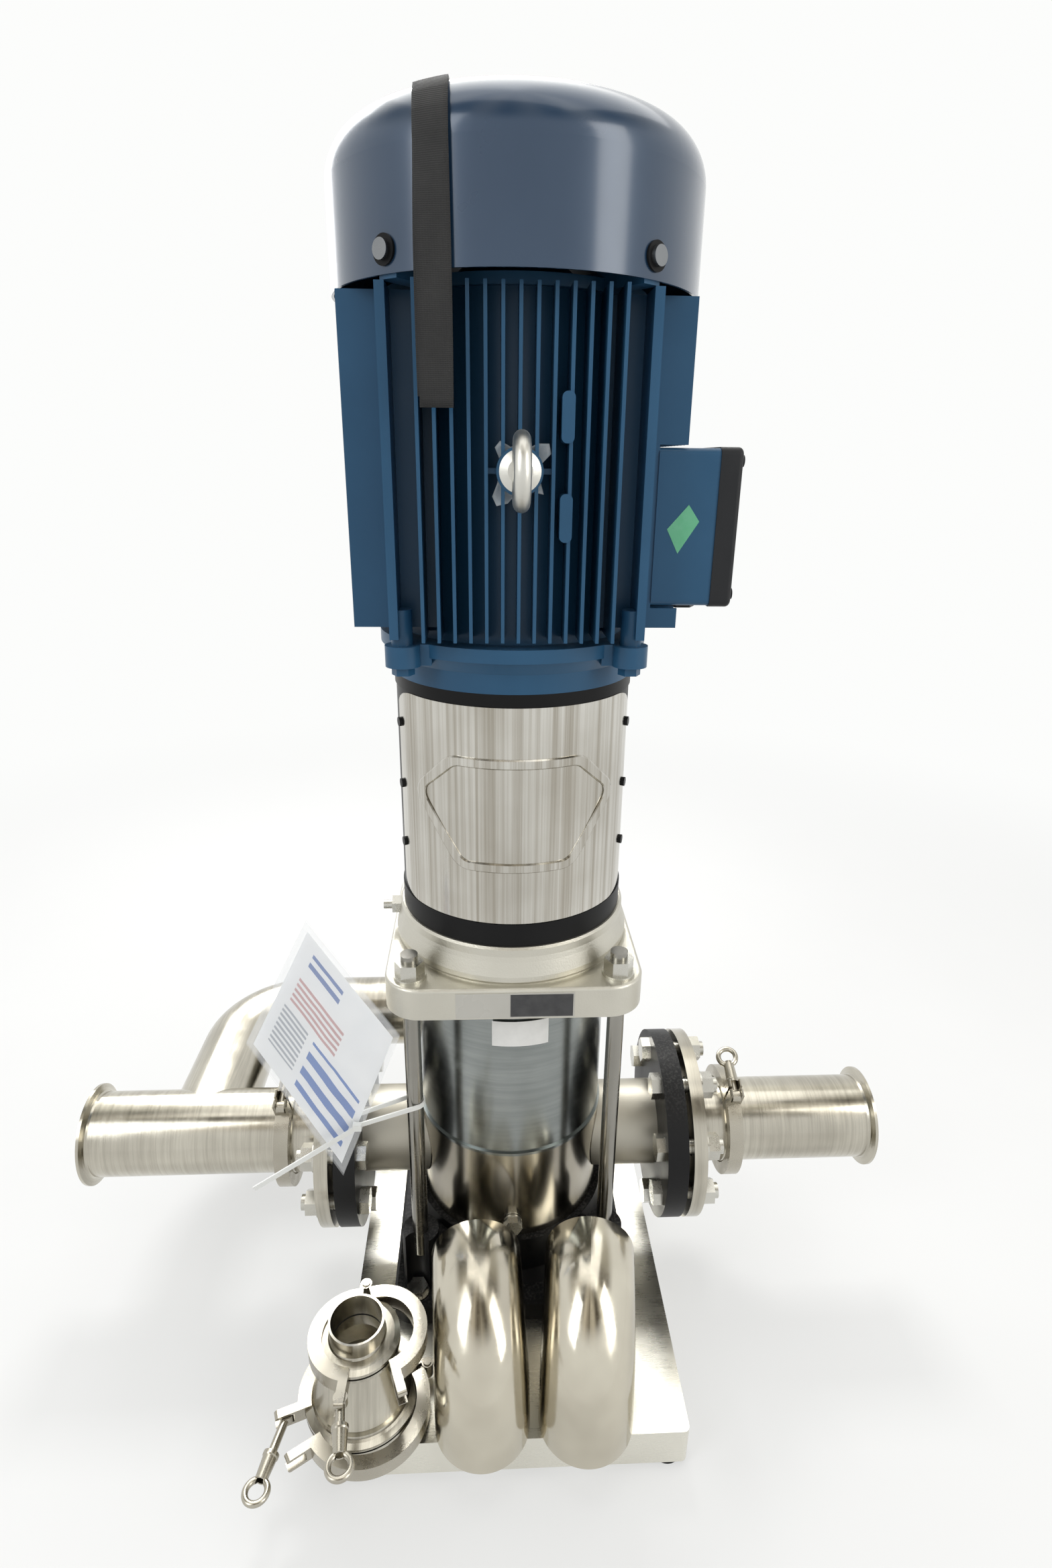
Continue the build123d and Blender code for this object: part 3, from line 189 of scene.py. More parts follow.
def metal(name, tone, shadow, rough, grain=(900, 900, 900), grain_strength=0.05, stain=0.35,
          spread=0.08, grain_distance=0.00005, grain_and_reflection_streaks=0.0):
    """Bare metal: slow stains of colour, uneven polish, a fine grain, and broad streaking that is partly
    brushed or turned grain and partly painted reflection.
    """
    s = Shader(name)
    slow = s.noise(9.0, 3.0)
    cloud = s.noise(38.0, 5.0)
    colour = s.mix(s.math("MULTIPLY", s.ramp(slow, 0.35, 0.7), stain), tone, shadow)
    fine = s.noise(1.0, 3.0, s.stretched(grain))
    if grain_and_reflection_streaks:
        stretched = s.stretched([scale * STREAK_SHARE for scale in grain])
        broad = s.noise(1.0, STREAK_DETAIL, stretched, STREAK_ROUGHNESS)
        # painted reflection: bands along the grain pull the colour towards the darker tone, standing partly
        # for the grain and partly for reflected dark bands
        colour = s.mix(s.math("MULTIPLY", s.ramp(broad, 0.42, 0.68), grain_and_reflection_streaks), colour, shadow)
    uneven = s.math("ADD", s.ramp(cloud, 0.3, 0.7, rough - spread, rough + spread),
                    s.ramp(fine, 0.2, 0.8, -0.04, 0.04))
    normal = s.bump(fine, grain_strength, grain_distance)
    return s.principled({"Base Color": colour, "Metallic": 1.0, "Roughness": uneven, "Normal": normal})


def paint(name, tone, worn, rough, peel=260.0, peel_strength=0.12, coat=0.0, dust=0.08, gloss=0.3):
    """Paint: orange peel, slight fading, and dust settled on faces that look up."""
    s = Shader(name)
    slow = s.noise(12.0, 4.0)
    speck = s.noise(420.0, 2.0)
    colour = s.mix(s.math("MULTIPLY", s.ramp(slow, 0.4, 0.75), 0.5), tone, worn)
    up = s.split(s.node("ShaderNodeNewGeometry").outputs["Normal"])["Z"]
    settled = s.math("MULTIPLY", s.math("MULTIPLY", s.ramp(up, 0.6, 1.0), s.ramp(speck, 0.45, 0.7)), dust)
    colour = s.mix(settled, colour, DUST)
    peel_height = s.noise(peel, 3.0)
    uneven = s.ramp(slow, 0.3, 0.7, rough - 0.06, rough + 0.06)
    normal = s.bump(peel_height, peel_strength, 0.0002)
    return s.principled({"Base Color": colour, "Roughness": uneven, "Normal": normal,
                         "Specular IOR Level": gloss, "Coat Weight": coat,
                         "Coat Roughness": COAT_ROUGHNESS})


# ---------------------------------------------------------------- finishes of the CAD nodes
BLUE, BLUE_WORN = (0.017, 0.076, 0.155), (0.030, 0.102, 0.196)
BLACK, BLACK_WORN = (0.007, 0.007, 0.0075), (0.014, 0.014, 0.014)
POLISH_ENDS = 0.0978, 0.0985    # distances from the axis between which polish turns to blasting

def cover_finish():
    """Satin navy enamel over pressed steel, with a soft metallic sheen."""
    s = Shader("navy_cover")
    slow = s.noise(7.0, 4.0)
    colour = s.mix(s.ramp(slow, 0.35, 0.7), (0.010, 0.036, 0.080), (0.017, 0.046, 0.094))
    uneven = s.ramp(s.noise(30.0, 4.0), 0.3, 0.7, 0.27, 0.34)
    normal = s.bump(s.noise(420.0, 3.0), 0.04, 0.0001)
    return s.principled({"Base Color": colour, "Metallic": 0.2, "Roughness": uneven, "Normal": normal,
                         "Specular IOR Level": 0.3, "Coat Weight": 1.0,
                         "Coat Roughness": 0.16, "Coat IOR": 1.5})


def housing_finish():
    """Polished casing whose welded stubs are left bead blasted."""
    s = Shader("polished_and_blasted")
    blasted = s.ramp(from_axis(s), *POLISH_ENDS)
    slow = s.noise(9.0, 3.0)
    polish = s.mix(s.ramp(slow, 0.35, 0.7), (0.50, 0.465, 0.39), (0.28, 0.255, 0.205))
    colour = s.mix(blasted, polish, (0.48, 0.455, 0.39))
    fine = s.noise(900.0, 3.0)
    rough = s.math("ADD", s.ramp(slow, 0.3, 0.7, 0.16, 0.24), s.math("MULTIPLY", blasted, 0.26))
    normal = s.bump(s.math("MULTIPLY", fine, blasted), 0.4, 0.0002)
    return s.principled({"Base Color": colour, "Metallic": 1.0, "Roughness": rough, "Normal": normal})


# the streak strengths below paint reflection bands into the bare metals' colour along with their grain
FINISHES = {
    "polished_sleeve": metal("polished_sleeve", (0.34, 0.36, 0.35), (0.13, 0.145, 0.145), 0.22,
                             (60, 60, 1500), 0.05, 0.5, 0.03, grain_and_reflection_streaks=0.3),
    "brushed_guard": metal("brushed_guard", (0.66, 0.645, 0.60), (0.27, 0.24, 0.185), 0.16,
                           (1800, 1800, 9), 0.24, 0.35, 0.03, grain_and_reflection_streaks=0.75),
    "turned_pipe": metal("turned_pipe", (0.60, 0.57, 0.49), (0.27, 0.25, 0.205), 0.20,
                         (1600, 50, 50), 0.16, 0.5, 0.05, grain_and_reflection_streaks=0.45),
    "polished_bend": metal("polished_bend", (0.66, 0.62, 0.52), (0.40, 0.365, 0.295), 0.17,
                           (300, 300, 300), 0.05, 0.6),
    "blasted_casting": metal("blasted_casting", (0.62, 0.60, 0.53), (0.42, 0.40, 0.345), 0.42,
                             (620, 620, 620), 0.6, grain_distance=0.00035),
    "cast_clamp": metal("cast_clamp", (0.50, 0.47, 0.40), (0.24, 0.22, 0.175), 0.28,
                        (700, 700, 700), 0.25, 0.5),
    "folded_sheet": metal("folded_sheet", (0.82, 0.80, 0.72), (0.60, 0.58, 0.51), 0.28,
                          (30, 1500, 1500), 0.10, 0.4, 0.03),
    "zinc": metal("zinc", (0.64, 0.63, 0.58), (0.34, 0.32, 0.27), 0.26, (500, 500, 500), 0.12, 0.5),
    "galvanised": metal("galvanised", (0.68, 0.67, 0.62), (0.46, 0.45, 0.41), 0.42,
                        (380, 380, 380), 0.4, grain_distance=0.0002),
    "ground_steel": metal("ground_steel", (0.32, 0.31, 0.28), (0.16, 0.15, 0.13), 0.22,
                          (60, 60, 1800), 0.1),
    "dark_steel": metal("dark_steel", (0.25, 0.26, 0.27), (0.12, 0.12, 0.13), 0.30),
    "bare_iron": metal("bare_iron", (0.22, 0.21, 0.20), (0.12, 0.10, 0.08), 0.5,
                       grain_strength=0.4, grain_distance=0.0002),
    "blue_paint": paint("blue_paint", BLUE, BLUE_WORN, 0.38, coat=0.05),
    "black_paint": paint("black_paint", BLACK, BLACK_WORN, 0.40, 300.0, 0.2, gloss=0.14),
    "textured_black": paint("textured_black", BLACK, BLACK_WORN, 0.42, 700.0, 0.6, gloss=0.2),
    "black_plastic": paint("black_plastic", (0.016, 0.017, 0.019), (0.03, 0.03, 0.032), 0.45,
                           900.0, 0.25, gloss=0.2),
    "rubber": paint("rubber", (0.012, 0.012, 0.012), (0.03, 0.03, 0.03), 0.7, 500.0, 0.3),
    "nylon": paint("nylon", (0.78, 0.79, 0.77), (0.70, 0.71, 0.68), 0.4, 200.0, 0.1, dust=0.0),
    "printed_plate": paint("printed_plate", (0.50, 0.49, 0.45), (0.42, 0.41, 0.37), 0.3, dust=0.0),
    "moulded_board": paint("moulded_board", (0.30, 0.16, 0.07), (0.36, 0.22, 0.1), 0.5),
    "navy_cover": cover_finish(),
    "polished_and_blasted": housing_finish(),
}

WEARS = {
    "polished_sleeve": ["outer_sleeve"],
    "brushed_guard": ["front_guard", "rear_guard"],
    "polished_and_blasted": ["pump_housing"],
    "turned_pipe": ["inlet_spool", "outlet_spool", "inlet_adapter", "outlet_adapter", "reducer",
                    "loose_ferrules"],
    "polished_bend": ["loose_elbows"],
    "blasted_casting": ["pump_head"],
    "folded_sheet": ["skid"],
    "cast_clamp": ["fitted_clamp_halves", "fitted_clamp_bolts", "clamp_pins", "loose_clamp_near_halves",
                   "lower_clamp_far_half", "upper_clamp_far_half", "lower_clamp_swing_bolt",
                   "upper_clamp_swing_bolt", "inlet_clamp_eye_nut", "outlet_clamp_eye_nut",
                   "lower_clamp_eye_nut", "upper_clamp_eye_nut"],
    "zinc": ["base_bolts", "tie_rod_nuts", "flange_bolts", "vent_and_drain_plugs"],
    "galvanised": ["lifting_eye"],
    "ground_steel": ["tie_rods", "pump_shaft", "motor_shaft", "stage_chambers", "impellers", "shaft_seal",
                     "motor_bearings"],
    "printed_plate": ["nameplate"],
    "bare_iron": ["stator", "rotor_core", "coupling"],
    "blue_paint": ["motor_frame", "drive_end_shield", "upper_end_shield", "motor_bolts", "terminal_box"],
    "navy_cover": ["fan_cover"],
    "black_paint": ["base_casting", "motor_stool", "cover_and_guard_screws"],
    "textured_black": ["backing_flanges"],
    "black_plastic": ["terminal_box_lid", "terminal_box_plugs_and_screws", "cooling_fan"],
    "rubber": ["rubber_feet", "gaskets"],
    "moulded_board": ["terminal_board"],
    "nylon": ["cable_tie"],
}

for finish, worn_by in WEARS.items():
    for node in worn_by:
        mesh = nodes[node].data
        mesh.materials.clear()
        mesh.materials.append(FINISHES[finish])


# the cover's screws have burnished heads; their washers and the guards' screws stay black
WASHER_STANDS_OUT = 2.2 * MM
screws = nodes["cover_and_guard_screws"].data
screws.materials.append(FINISHES["dark_steel"])
cover_low, cover_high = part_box("fan_cover")
washer_face = (cover_high.x - cover_low.x) / 2 + WASHER_STANDS_OUT
for polygon in screws.polygons:
    spread = math.hypot(polygon.center.x - AXIS.x, polygon.center.y - AXIS.y)
    if polygon.center.z > cover_low.z and spread > washer_face:
        polygon.material_index = 1


# ---------------------------------------------------------------- mesh helpers
def mesh_object(name, bm, material):
    """A new smooth piece from a bmesh, riding on the pump's body."""
    bmesh.ops.recalc_face_normals(bm, faces=bm.faces)
    mesh = bpy.data.meshes.new(name)
    bm.to_mesh(mesh)
    bm.free()
    for polygon in mesh.polygons:
        polygon.use_smooth = True
    mesh.materials.append(material)
    made = bpy.data.objects.new(name, mesh)
    bpy.context.scene.collection.objects.link(made)
    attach(made, "pump")
    return made


def grid(rows):
    """A bmesh of quads through rows of points."""
    bm = bmesh.new()
    made = [[bm.verts.new(p) for p in row] for row in rows]
    for low, high in zip(made, made[1:]):
        for k in range(len(low) - 1):
            bm.faces.new((low[k], low[k + 1], high[k + 1], high[k]))
    return bm


# ---------------------------------------------------------------- lifting strap
STRAP_LAYER = 1.3 * MM
STRAP_GAP = 0.3 * MM
COVER_SHOULDER, COVER_CROWN = 38 * MM, 16 * MM
STRAP_STEPS, STRAP_COLUMNS = 26, 6
STRAP_PITCH = 1.15 * STRAP_LAYER
STRAP_EDGE = 0.6 * MM
STRAP_FEET = 7 * MM, 0.0    # how far each layer ends above the strap's lowest point
SEAT_DEPTH = 45 * MM        # how far below the cover's top lies the point it is sighted from
SIGHT_REACH, SIGHT_STEPS = 0.4, 26
HANG_DEPTH = 3.3 * MM
BOW, DRIFT_OVER, DRIFT_UNDER = 1.2 * MM, 0.9 * MM, -1.1 * MM


def webbing():
    """Black woven webbing with a ribbed weave and a grey dusty bloom."""
    s = Shader("webbing")
    weave = s.node("ShaderNodeTexWave", {"Vector": s.place, "Scale": 260.0, "Distortion": 1.2, "Detail": 2.0},
                   bands_direction="Z").outputs["Fac"]
    cross = s.node("ShaderNodeTexWave", {"Vector": s.place, "Scale": 420.0, "Distortion": 0.6},
                   bands_direction="X").outputs["Fac"]
    height = s.math("ADD", s.math("MULTIPLY", weave, 0.6), s.math("MULTIPLY", cross, 0.4))
    colour = s.mix(s.ramp(s.noise(60.0, 4.0), 0.35, 0.75), (0.008, 0.008, 0.0085), (0.018, 0.018, 0.018))
    colour = s.mix(s.math("MULTIPLY", height, 0.35), colour, (0.026, 0.026, 0.026))
    return s.principled({"Base Color": colour, "Roughness": 0.75, "Normal": s.bump(height, 0.7, 0.0004),
                         "Sheen Weight": 0.06, "Sheen Roughness": 0.4})


def inside_cover(radius, z, lift, wall, top):
    """Whether a point lies inside the fan cover's outside, moved outwards by lift."""
    big = (wall * wall + COVER_CROWN ** 2) / (2 * COVER_CROWN) + lift
    shoulder, edge, centre_z = COVER_SHOULDER + lift, wall - COVER_SHOULDER, top + lift - big
    turn_z = centre_z + math.sqrt((big - shoulder) ** 2 - edge ** 2)
    if radius <= edge or (z - turn_z) * edge > (radius - edge) * (turn_z - centre_z):
        return math.hypot(radius, z - centre_z) < big
    if z < turn_z:
        return radius < wall + lift
    return math.hypot(radius - edge, z - turn_z) < shoulder


def on_cover(x, angle, lift, wall, top):
    """The point of the lifted cover at distance x from the axis plane, sighted at an angle."""
    seat = top - SEAT_DEPTH
    near, far = 0.0, SIGHT_REACH
    for _ in range(SIGHT_STEPS):
        reach = (near + far) / 2
        y, z = -math.cos(angle) * reach, seat + math.sin(angle) * reach
        if inside_cover(math.hypot(x, y), z, lift, wall, top):
            near = reach
        else:
            far = reach
    return Vector((x, -math.cos(angle) * near, seat + math.sin(angle) * near))


def make_strap():
    """A flat webbing loop over the fan cover: two layers that part at the fold hanging in front."""
    low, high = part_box("lifting_strap")
    cover_low, cover_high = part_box("fan_cover")
    wall, top = (cover_high.x - cover_low.x) / 2, cover_high.z
    middle = (low.x + high.x) / 2 - AXIS.x
    half = (high.x - low.x) / 2 - STRAP_EDGE
    back_angle = math.pi - math.atan2(SEAT_DEPTH, high.y - AXIS.y)
    front = low.y - AXIS.y
    cloth = webbing()
    for index, foot in enumerate(STRAP_FEET):
        inner = STRAP_GAP + index * STRAP_PITCH
        skins = []
        for lift in (inner, inner + STRAP_LAYER):
            rows = []
            for k in range(STRAP_STEPS + 1):
                angle = back_angle * (1 - k / STRAP_STEPS)
                offsets = [half * (2 * c / STRAP_COLUMNS - 1) for c in range(STRAP_COLUMNS + 1)]
                rows.append([on_cover(middle + offset, angle, lift, wall, top) for offset in offsets])
            seat = rows[-1]
            hang = front + (HANG_DEPTH - lift)
            bottom = low.z + foot
            for k in range(1, STRAP_STEPS + 1):
                share = k / STRAP_STEPS
                settle = min(1.0, share * 2.4)
                settle = settle * settle * (3 - 2 * settle)
                bow = math.sin(share * math.pi) * BOW * (1 - index)
                drift = (DRIFT_OVER if index else DRIFT_UNDER) * math.sin(share * 2.4)
                rows.append([Vector((p.x + drift, p.y + (hang - p.y) * settle + bow,
                                     p.z + (bottom - p.z) * share)) for p in seat])
            skins.append([[AXIS + p for p in row] for row in rows])
        band = bmesh.new()
        outer_and_inner = [[band.verts.new(p) for row in skin for p in row] for skin in skins]
        across, long = STRAP_COLUMNS + 1, len(skins[0])
        for verts in outer_and_inner:
            for i in range(long - 1):
                for c in range(STRAP_COLUMNS):
                    at_corner = i * across + c
                    band.faces.new([verts[at_corner + n] for n in (0, 1, across + 1, across)])
        under, over = outer_and_inner
        rim = [i * across for i in range(long)] + [(long - 1) * across + c for c in range(1, across)]
        rim += [i * across + STRAP_COLUMNS for i in range(long - 2, -1, -1)]
        rim += list(range(STRAP_COLUMNS - 1, 0, -1))
        for i, k in zip(rim, rim[1:] + rim[:1]):
            band.faces.new((under[i], under[k], over[k], over[i]))
        length = sum(face.calc_area() for face in band.faces) / 2 / (2 * half + STRAP_LAYER)
        piece = mesh_object(f"strap_layer_{index + 1}", band, cloth)
        if index:
            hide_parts("lifting_strap")


make_strap()


# ---------------------------------------------------------------- document bag
BAG_CELLS = 28
BAG_CORNERS = ((0.457, 1.0), (0.0, 0.557), (0.558, 0.0), (1.0, 0.571))
LEAFLET_INSET = 0.045
TIE_LOOP_X = -147 * MM      # the cable tie's loop, from the pump's axis
FOLDS, FOLD_DEPTH, FOLD_REACH = 17, 1.5 * MM, 55 * MM
COARSE_WRINKLE, FINE_WRINKLE = 1.6 * MM, 0.6 * MM


def film():
    """Thin clear film: nearly invisible face on, glossy at its creases."""
    s = Shader("film")
    slanted = s.node("ShaderNodeMapping", {"Vector": s.place, "Rotation": (0.0, 0.62, 0.0),
                                           "Scale": (150.0, 20.0, 16.0)})
    height = s.math("ADD", s.noise(1.0, 3.0, slanted.outputs["Vector"]), s.noise(34.0, 3.0))
    return s.principled({"Base Color": (0.92, 0.94, 0.96, 1.0), "Roughness": 0.09, "Alpha": 0.24,
                         "IOR": 1.6, "Normal": s.bump(height, 0.8, 0.003)})


def printed_paper():
    """A white leaflet with generic bars in blue, red and grey, and no lettering."""
    s = Shader("printed_paper")
    uv = s.split(s.node("ShaderNodeUVMap").outputs[0])
    u, v = uv["X"], uv["Y"]

    def block_mask(u0, u1, v0, v1):
        inside_u = s.math("MULTIPLY", s.math("GREATER_THAN", u, u0), s.math("LESS_THAN", u, u1))
        inside_v = s.math("MULTIPLY", s.math("GREATER_THAN", v, v0), s.math("LESS_THAN", v, v1))
        return s.math("MULTIPLY", inside_u, inside_v)

    def lines(count):
        return s.math("GREATER_THAN", s.math("FRACT", s.math("MULTIPLY", v, count)), 0.5)

    colour = s.mix(s.ramp(s.noise(30.0, 3.0), 0.3, 0.7), (0.92, 0.93, 0.94), (0.86, 0.88, 0.90))
    for box, tint, count in (((0.12, 0.46, 0.80, 0.92), (0.08, 0.16, 0.42), 14.0),
                             ((0.10, 0.60, 0.52, 0.72), (0.55, 0.30, 0.30), 24.0),
                             ((0.08, 0.34, 0.14, 0.46), (0.35, 0.38, 0.43), 26.0),
                             ((0.40, 0.94, 0.08, 0.46), (0.04, 0.15, 0.48), 8.0)):
        colour = s.mix(s.math("MULTIPLY", block_mask(*box), lines(count)), colour, tint)
    return s.principled({"Base Color": colour, "Roughness": 0.62,
                         "Normal": s.bump(s.noise(300.0, 3.0), 0.1, 0.0002)})


def make_bag():
    """A clear envelope with its leaflet, tied to the tie rod and creased towards the tie."""
    low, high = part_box("document_bag")
    tie_low, tie_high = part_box("cable_tie")
    thick = high.y - low.y
    knot = Vector(((tie_high.x + AXIS.x + TIE_LOOP_X) / 2, low.y, tie_high.z - 3 * MM))
    corners = [Vector((low.x + (high.x - low.x) * u, 0.0, low.z + (high.z - low.z) * v))
               for u, v in BAG_CORNERS]

    def point(u, v, depth):
        """u runs from the top edge to the bottom, v from the left corner to the right."""
        top = corners[0].lerp(corners[3], u)
        bottom = corners[1].lerp(corners[2], u)
        p = top.lerp(bottom, v)
        p.y = low.y + thick * depth
        return p

    def skin(depth, puff, rough_seed, inset=0.0):
        rows = []
        for i in range(BAG_CELLS + 1):
            row = []
            for k in range(BAG_CELLS + 1):
                u = inset + (1 - 2 * inset) * i / BAG_CELLS
                v = inset + (1 - 2 * inset) * k / BAG_CELLS
                p = point(u, v, depth)
                inside = 0 < u < 1 and 0 < v < 1
                swell = (math.sin(math.pi * u) * math.sin(math.pi * v)) ** 0.5 if inside else 0.0
                aside = Vector((p.x - knot.x, 0.0, p.z - knot.z))
                fan = math.atan2(aside.z, aside.x) * FOLDS + noise.noise(p * 20) * 1.5
                wrinkle = noise.noise(Vector((p.x, p.z, rough_seed)) * 26) * COARSE_WRINKLE
                wrinkle += noise.noise(Vector((p.x, p.z, rough_seed + 3)) * 80) * FINE_WRINKLE
                wrinkle += math.sin(fan) * FOLD_DEPTH * math.exp(-aside.length / FOLD_REACH)
                p.y += puff * swell + wrinkle * swell
                row.append(p)
            rows.append(row)
        return rows

    clear, paper = film(), printed_paper()
    layers = (("bag_film_front", 0.05, -3.2 * MM, 1.0, 0.0, clear),
              ("bag_film_back", 0.95, 0.0, 5.0, 0.0, clear),
              ("bag_leaflet", 0.45, -0.6 * MM, 9.0, LEAFLET_INSET, paper))
    for name, depth, puff, seed, inset, material in layers:
        rows = skin(depth, puff, seed, inset)
        piece = mesh_object(name, grid(rows), material)
        layer = piece.data.uv_layers.new(name="UVMap")
        across = len(rows[0])
        for loop in piece.data.loops:
            layer.data[loop.index].uv = (loop.vertex_index // across / BAG_CELLS,
                                         1 - loop.vertex_index % across / BAG_CELLS)
    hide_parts("document_bag")


make_bag()


# ---------------------------------------------------------------- labels and masking film
LABEL_LIFT, CURVED_LIFT = 0.2 * MM, 0.15 * MM
FLAT_CELLS, CURVED_CELLS = 4, 12
SLEEVE_LABEL = -21 * MM, 33 * MM, 373 * MM, 401 * MM    # left, right, low and high edge
GREEN_CORNERS = (2.5, 0, 19.5), (11.6, 0, 6.9), (-4, 0, -17.6), (-13.6, 0, 1)
PLATE_SPLIT = 0.46
PLATE_MARGIN, PLATE_SIDE = 1.2 * MM, 1.5 * MM


def plain_label(name, tone, edge_tone, rough=0.35):
    """A label without lettering: one tone, slightly clouded."""
    s = Shader(name)
    cloud = s.ramp(s.noise(90.0, 4.0), 0.35, 0.7)
    return s.principled({"Base Color": s.mix(cloud, tone, edge_tone), "Roughness": rough,
                         "Normal": s.bump(s.noise(240.0, 3.0), 0.08, 0.0002), "Coat Weight": 0.3,
                         "Coat Roughness": 0.2})


def curved_label(name, material, slot, radius, x0, x1, z0, z1):
    """A thin label wrapped on an upright cylinder about the pump's axis, facing the front."""
    rows = []
    for i in range(CURVED_CELLS + 1):
        x = x0 + (x1 - x0) * i / CURVED_CELLS
        r = radius + CURVED_LIFT
        y = -math.sqrt(r * r - x * x)
        rows.append([AXIS + Vector((x, y, z)) for z in (z0, (z0 + z1) / 2, z1)])
    label = mesh_object(name, grid(rows), material)


def flat_label(name, material, corners):
    """A thin label on a flat wall, given by its four corners."""
    a, b, c, d = corners
    shares = [i / FLAT_CELLS for i in range(FLAT_CELLS + 1)]
    rows = [[a.lerp(b, i).lerp(d.lerp(c, i), k) for k in shares] for i in shares]
    label = mesh_object(name, grid(rows), material)


curved_label("sleeve_label", plain_label("white_label", (0.80, 0.80, 0.78), (0.74, 0.74, 0.72)),
             "nameplate", (sleeve_high.x - sleeve_low.x) / 2, *SLEEVE_LABEL)

box_low, box_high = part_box("terminal_box")
box_mid = Vector(((box_low.x + box_high.x) / 2 - 1 * MM, box_low.y - LABEL_LIFT,
                  (box_low.z + box_high.z) / 2 - 1 * MM))
flat_label("green_label", plain_label("green_label_film", (0.10, 0.42, 0.22), (0.14, 0.46, 0.27)),
           [box_mid + Vector(p) * MM for p in GREEN_CORNERS])


def make_plate_print():
    """The dark half of the nameplate; the other half is the plate itself."""
    low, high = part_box("nameplate")
    x0, x1 = low.x + (high.x - low.x) * PLATE_SPLIT, high.x - PLATE_SIDE
    y = low.y - LABEL_LIFT
    corners = [Vector((x0, y, high.z - PLATE_MARGIN)), Vector((x1, y, high.z - PLATE_MARGIN)),
               Vector((x1, y, low.z + PLATE_MARGIN)), Vector((x0, y, low.z + PLATE_MARGIN))]
    dark = plain_label("plate_dark_half_print", (0.02, 0.02, 0.022), (0.04, 0.04, 0.042), 0.3)
    flat_label("plate_dark_half", dark, corners)


make_plate_print()


def torn_film():
    """Crumpled pale blue film, worn white in places."""
    s = Shader("torn_film")
    cloud = s.ramp(s.noise(160.0, 4.0), 0.35, 0.7)
    return s.principled({"Base Color": s.mix(cloud, (0.60, 0.68, 0.72), (0.78, 0.81, 0.82)), "Roughness": 0.4,
                         "Normal": s.bump(s.noise(400.0, 4.0), 0.6, 0.0005)})


MASKING_TIPS, MASKING_RINGS = 26, 5
MASKING_BACK = 11 * MM
MASKING_HOLE, MASKING_REACH = 9.5, 9.0
MASKING_CREASE = 1.6
LONG_TIPS = ((2, 1.8), (3, 2.1), (4, 1.5), (9, 1.7), (10, 1.6), (16, 1.9), (17, 2.2), (18, 1.6), (23, 1.6))


def make_masking():
    """Remains of masking film torn around the lifting eye's shank: a ragged crumpled star."""
    low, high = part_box("lifting_eye")
    centre = Vector(((low.x + high.x) / 2, high.y, (low.z + high.z) / 2))
    back = centre.y - MASKING_BACK
    draw = random.Random(4)
    reach = [0.6 + 0.4 * draw.random() for _ in range(MASKING_TIPS)]
    for k, long in LONG_TIPS:
        reach[k] = long
    rows = []
    for i in range(MASKING_RINGS + 1):
        share = i / MASKING_RINGS
        row = []
        for k in range(MASKING_TIPS + 1):
            a = 2 * math.pi * k / MASKING_TIPS
            long = reach[k % MASKING_TIPS]
            r = (MASKING_HOLE + MASKING_REACH * share * long) * MM
            lift = (math.sin(k * 2.4) * MASKING_CREASE - 3.2 * share * (long - 0.5)) * share * MM
            lift += noise.noise(Vector((math.cos(a), math.sin(a), share)) * 5) * MASKING_CREASE * MM * share
            row.append(Vector((centre.x + r * math.cos(a), back + lift, centre.z + r * math.sin(a))))
        rows.append(row)
    piece = mesh_object("masking_film", grid(rows), torn_film())
    thicken = piece.modifiers.new("thickness", "SOLIDIFY")
    thicken.thickness = 0.25 * MM


make_masking()


# ---------------------------------------------------------------- floor, light and surroundings
FLOOR_HALF = 12.0
FADE_NEAR, FADE_FAR = 0.9, 2.4      # where the shadowed floor turns into even white
FLOOR_LIFT, ROOM_SOFT = 0.53, 0.58
UNSEEN_FLOOR = (0.6, 0.6, 0.595, 1.0)
SOFT_TONE = (1.0, 0.995, 0.98, 1.0)
ROOM_FROM = 0.56, 0.74              # heights of a ray's direction between which white turns to the room
BAND_CONTRAST = 1.4

# tones of the room above the pale surroundings, by direction in degrees: bright panels, dark gaps
ROOM_BANDS = ((-180, (1.50, 1.48, 1.40)), (-140, (1.15, 1.14, 1.08)), (-104, (0.34, 0.33, 0.30)),
              (-72, (0.75, 0.72, 0.65)), (-46, (0.16, 0.15, 0.13)), (-24, (0.80, 0.75, 0.66)),
              (-8, (0.24, 0.21, 0.17)), (8, (0.75, 0.71, 0.62)), (24, (0.18, 0.16, 0.13)),
              (46, (0.95, 0.92, 0.83)), (70, (0.20, 0.18, 0.15)), (100, (0.62, 0.60, 0.54)),
              (136, (0.85, 0.84, 0.79)),
              (180, (1.50, 1.48, 1.40)))
WHITE = (0.975, 0.98, 0.97, 1.0)


def around(s, vector, bands):
    """Upright bands of tone round the studio, by direction from the object in degrees."""
    parts = s.split(vector)
    turn = s.math("ARCTAN2", parts["X"], s.math("MULTIPLY", parts["Y"], -1.0))
    share = s.ramp(turn, -math.pi, math.pi)
    tone = s.tones(share, [((degrees + 180) / 360, tone) for degrees, tone in bands])
    return s.node("ShaderNodeGamma", {"Color": tone, "Gamma": BAND_CONTRAST}).outputs[0]


def shown_background(s):
    """1 for camera, glossy and transmission rays, which all show the same background, and 0 for others."""
    path = s.node("ShaderNodeLightPath").outputs
    mirrored = s.math("MAXIMUM", path["Is Glossy Ray"], path["Is Transmission Ray"])
    return s.math("MAXIMUM", path["Is Camera Ray"], mirrored)


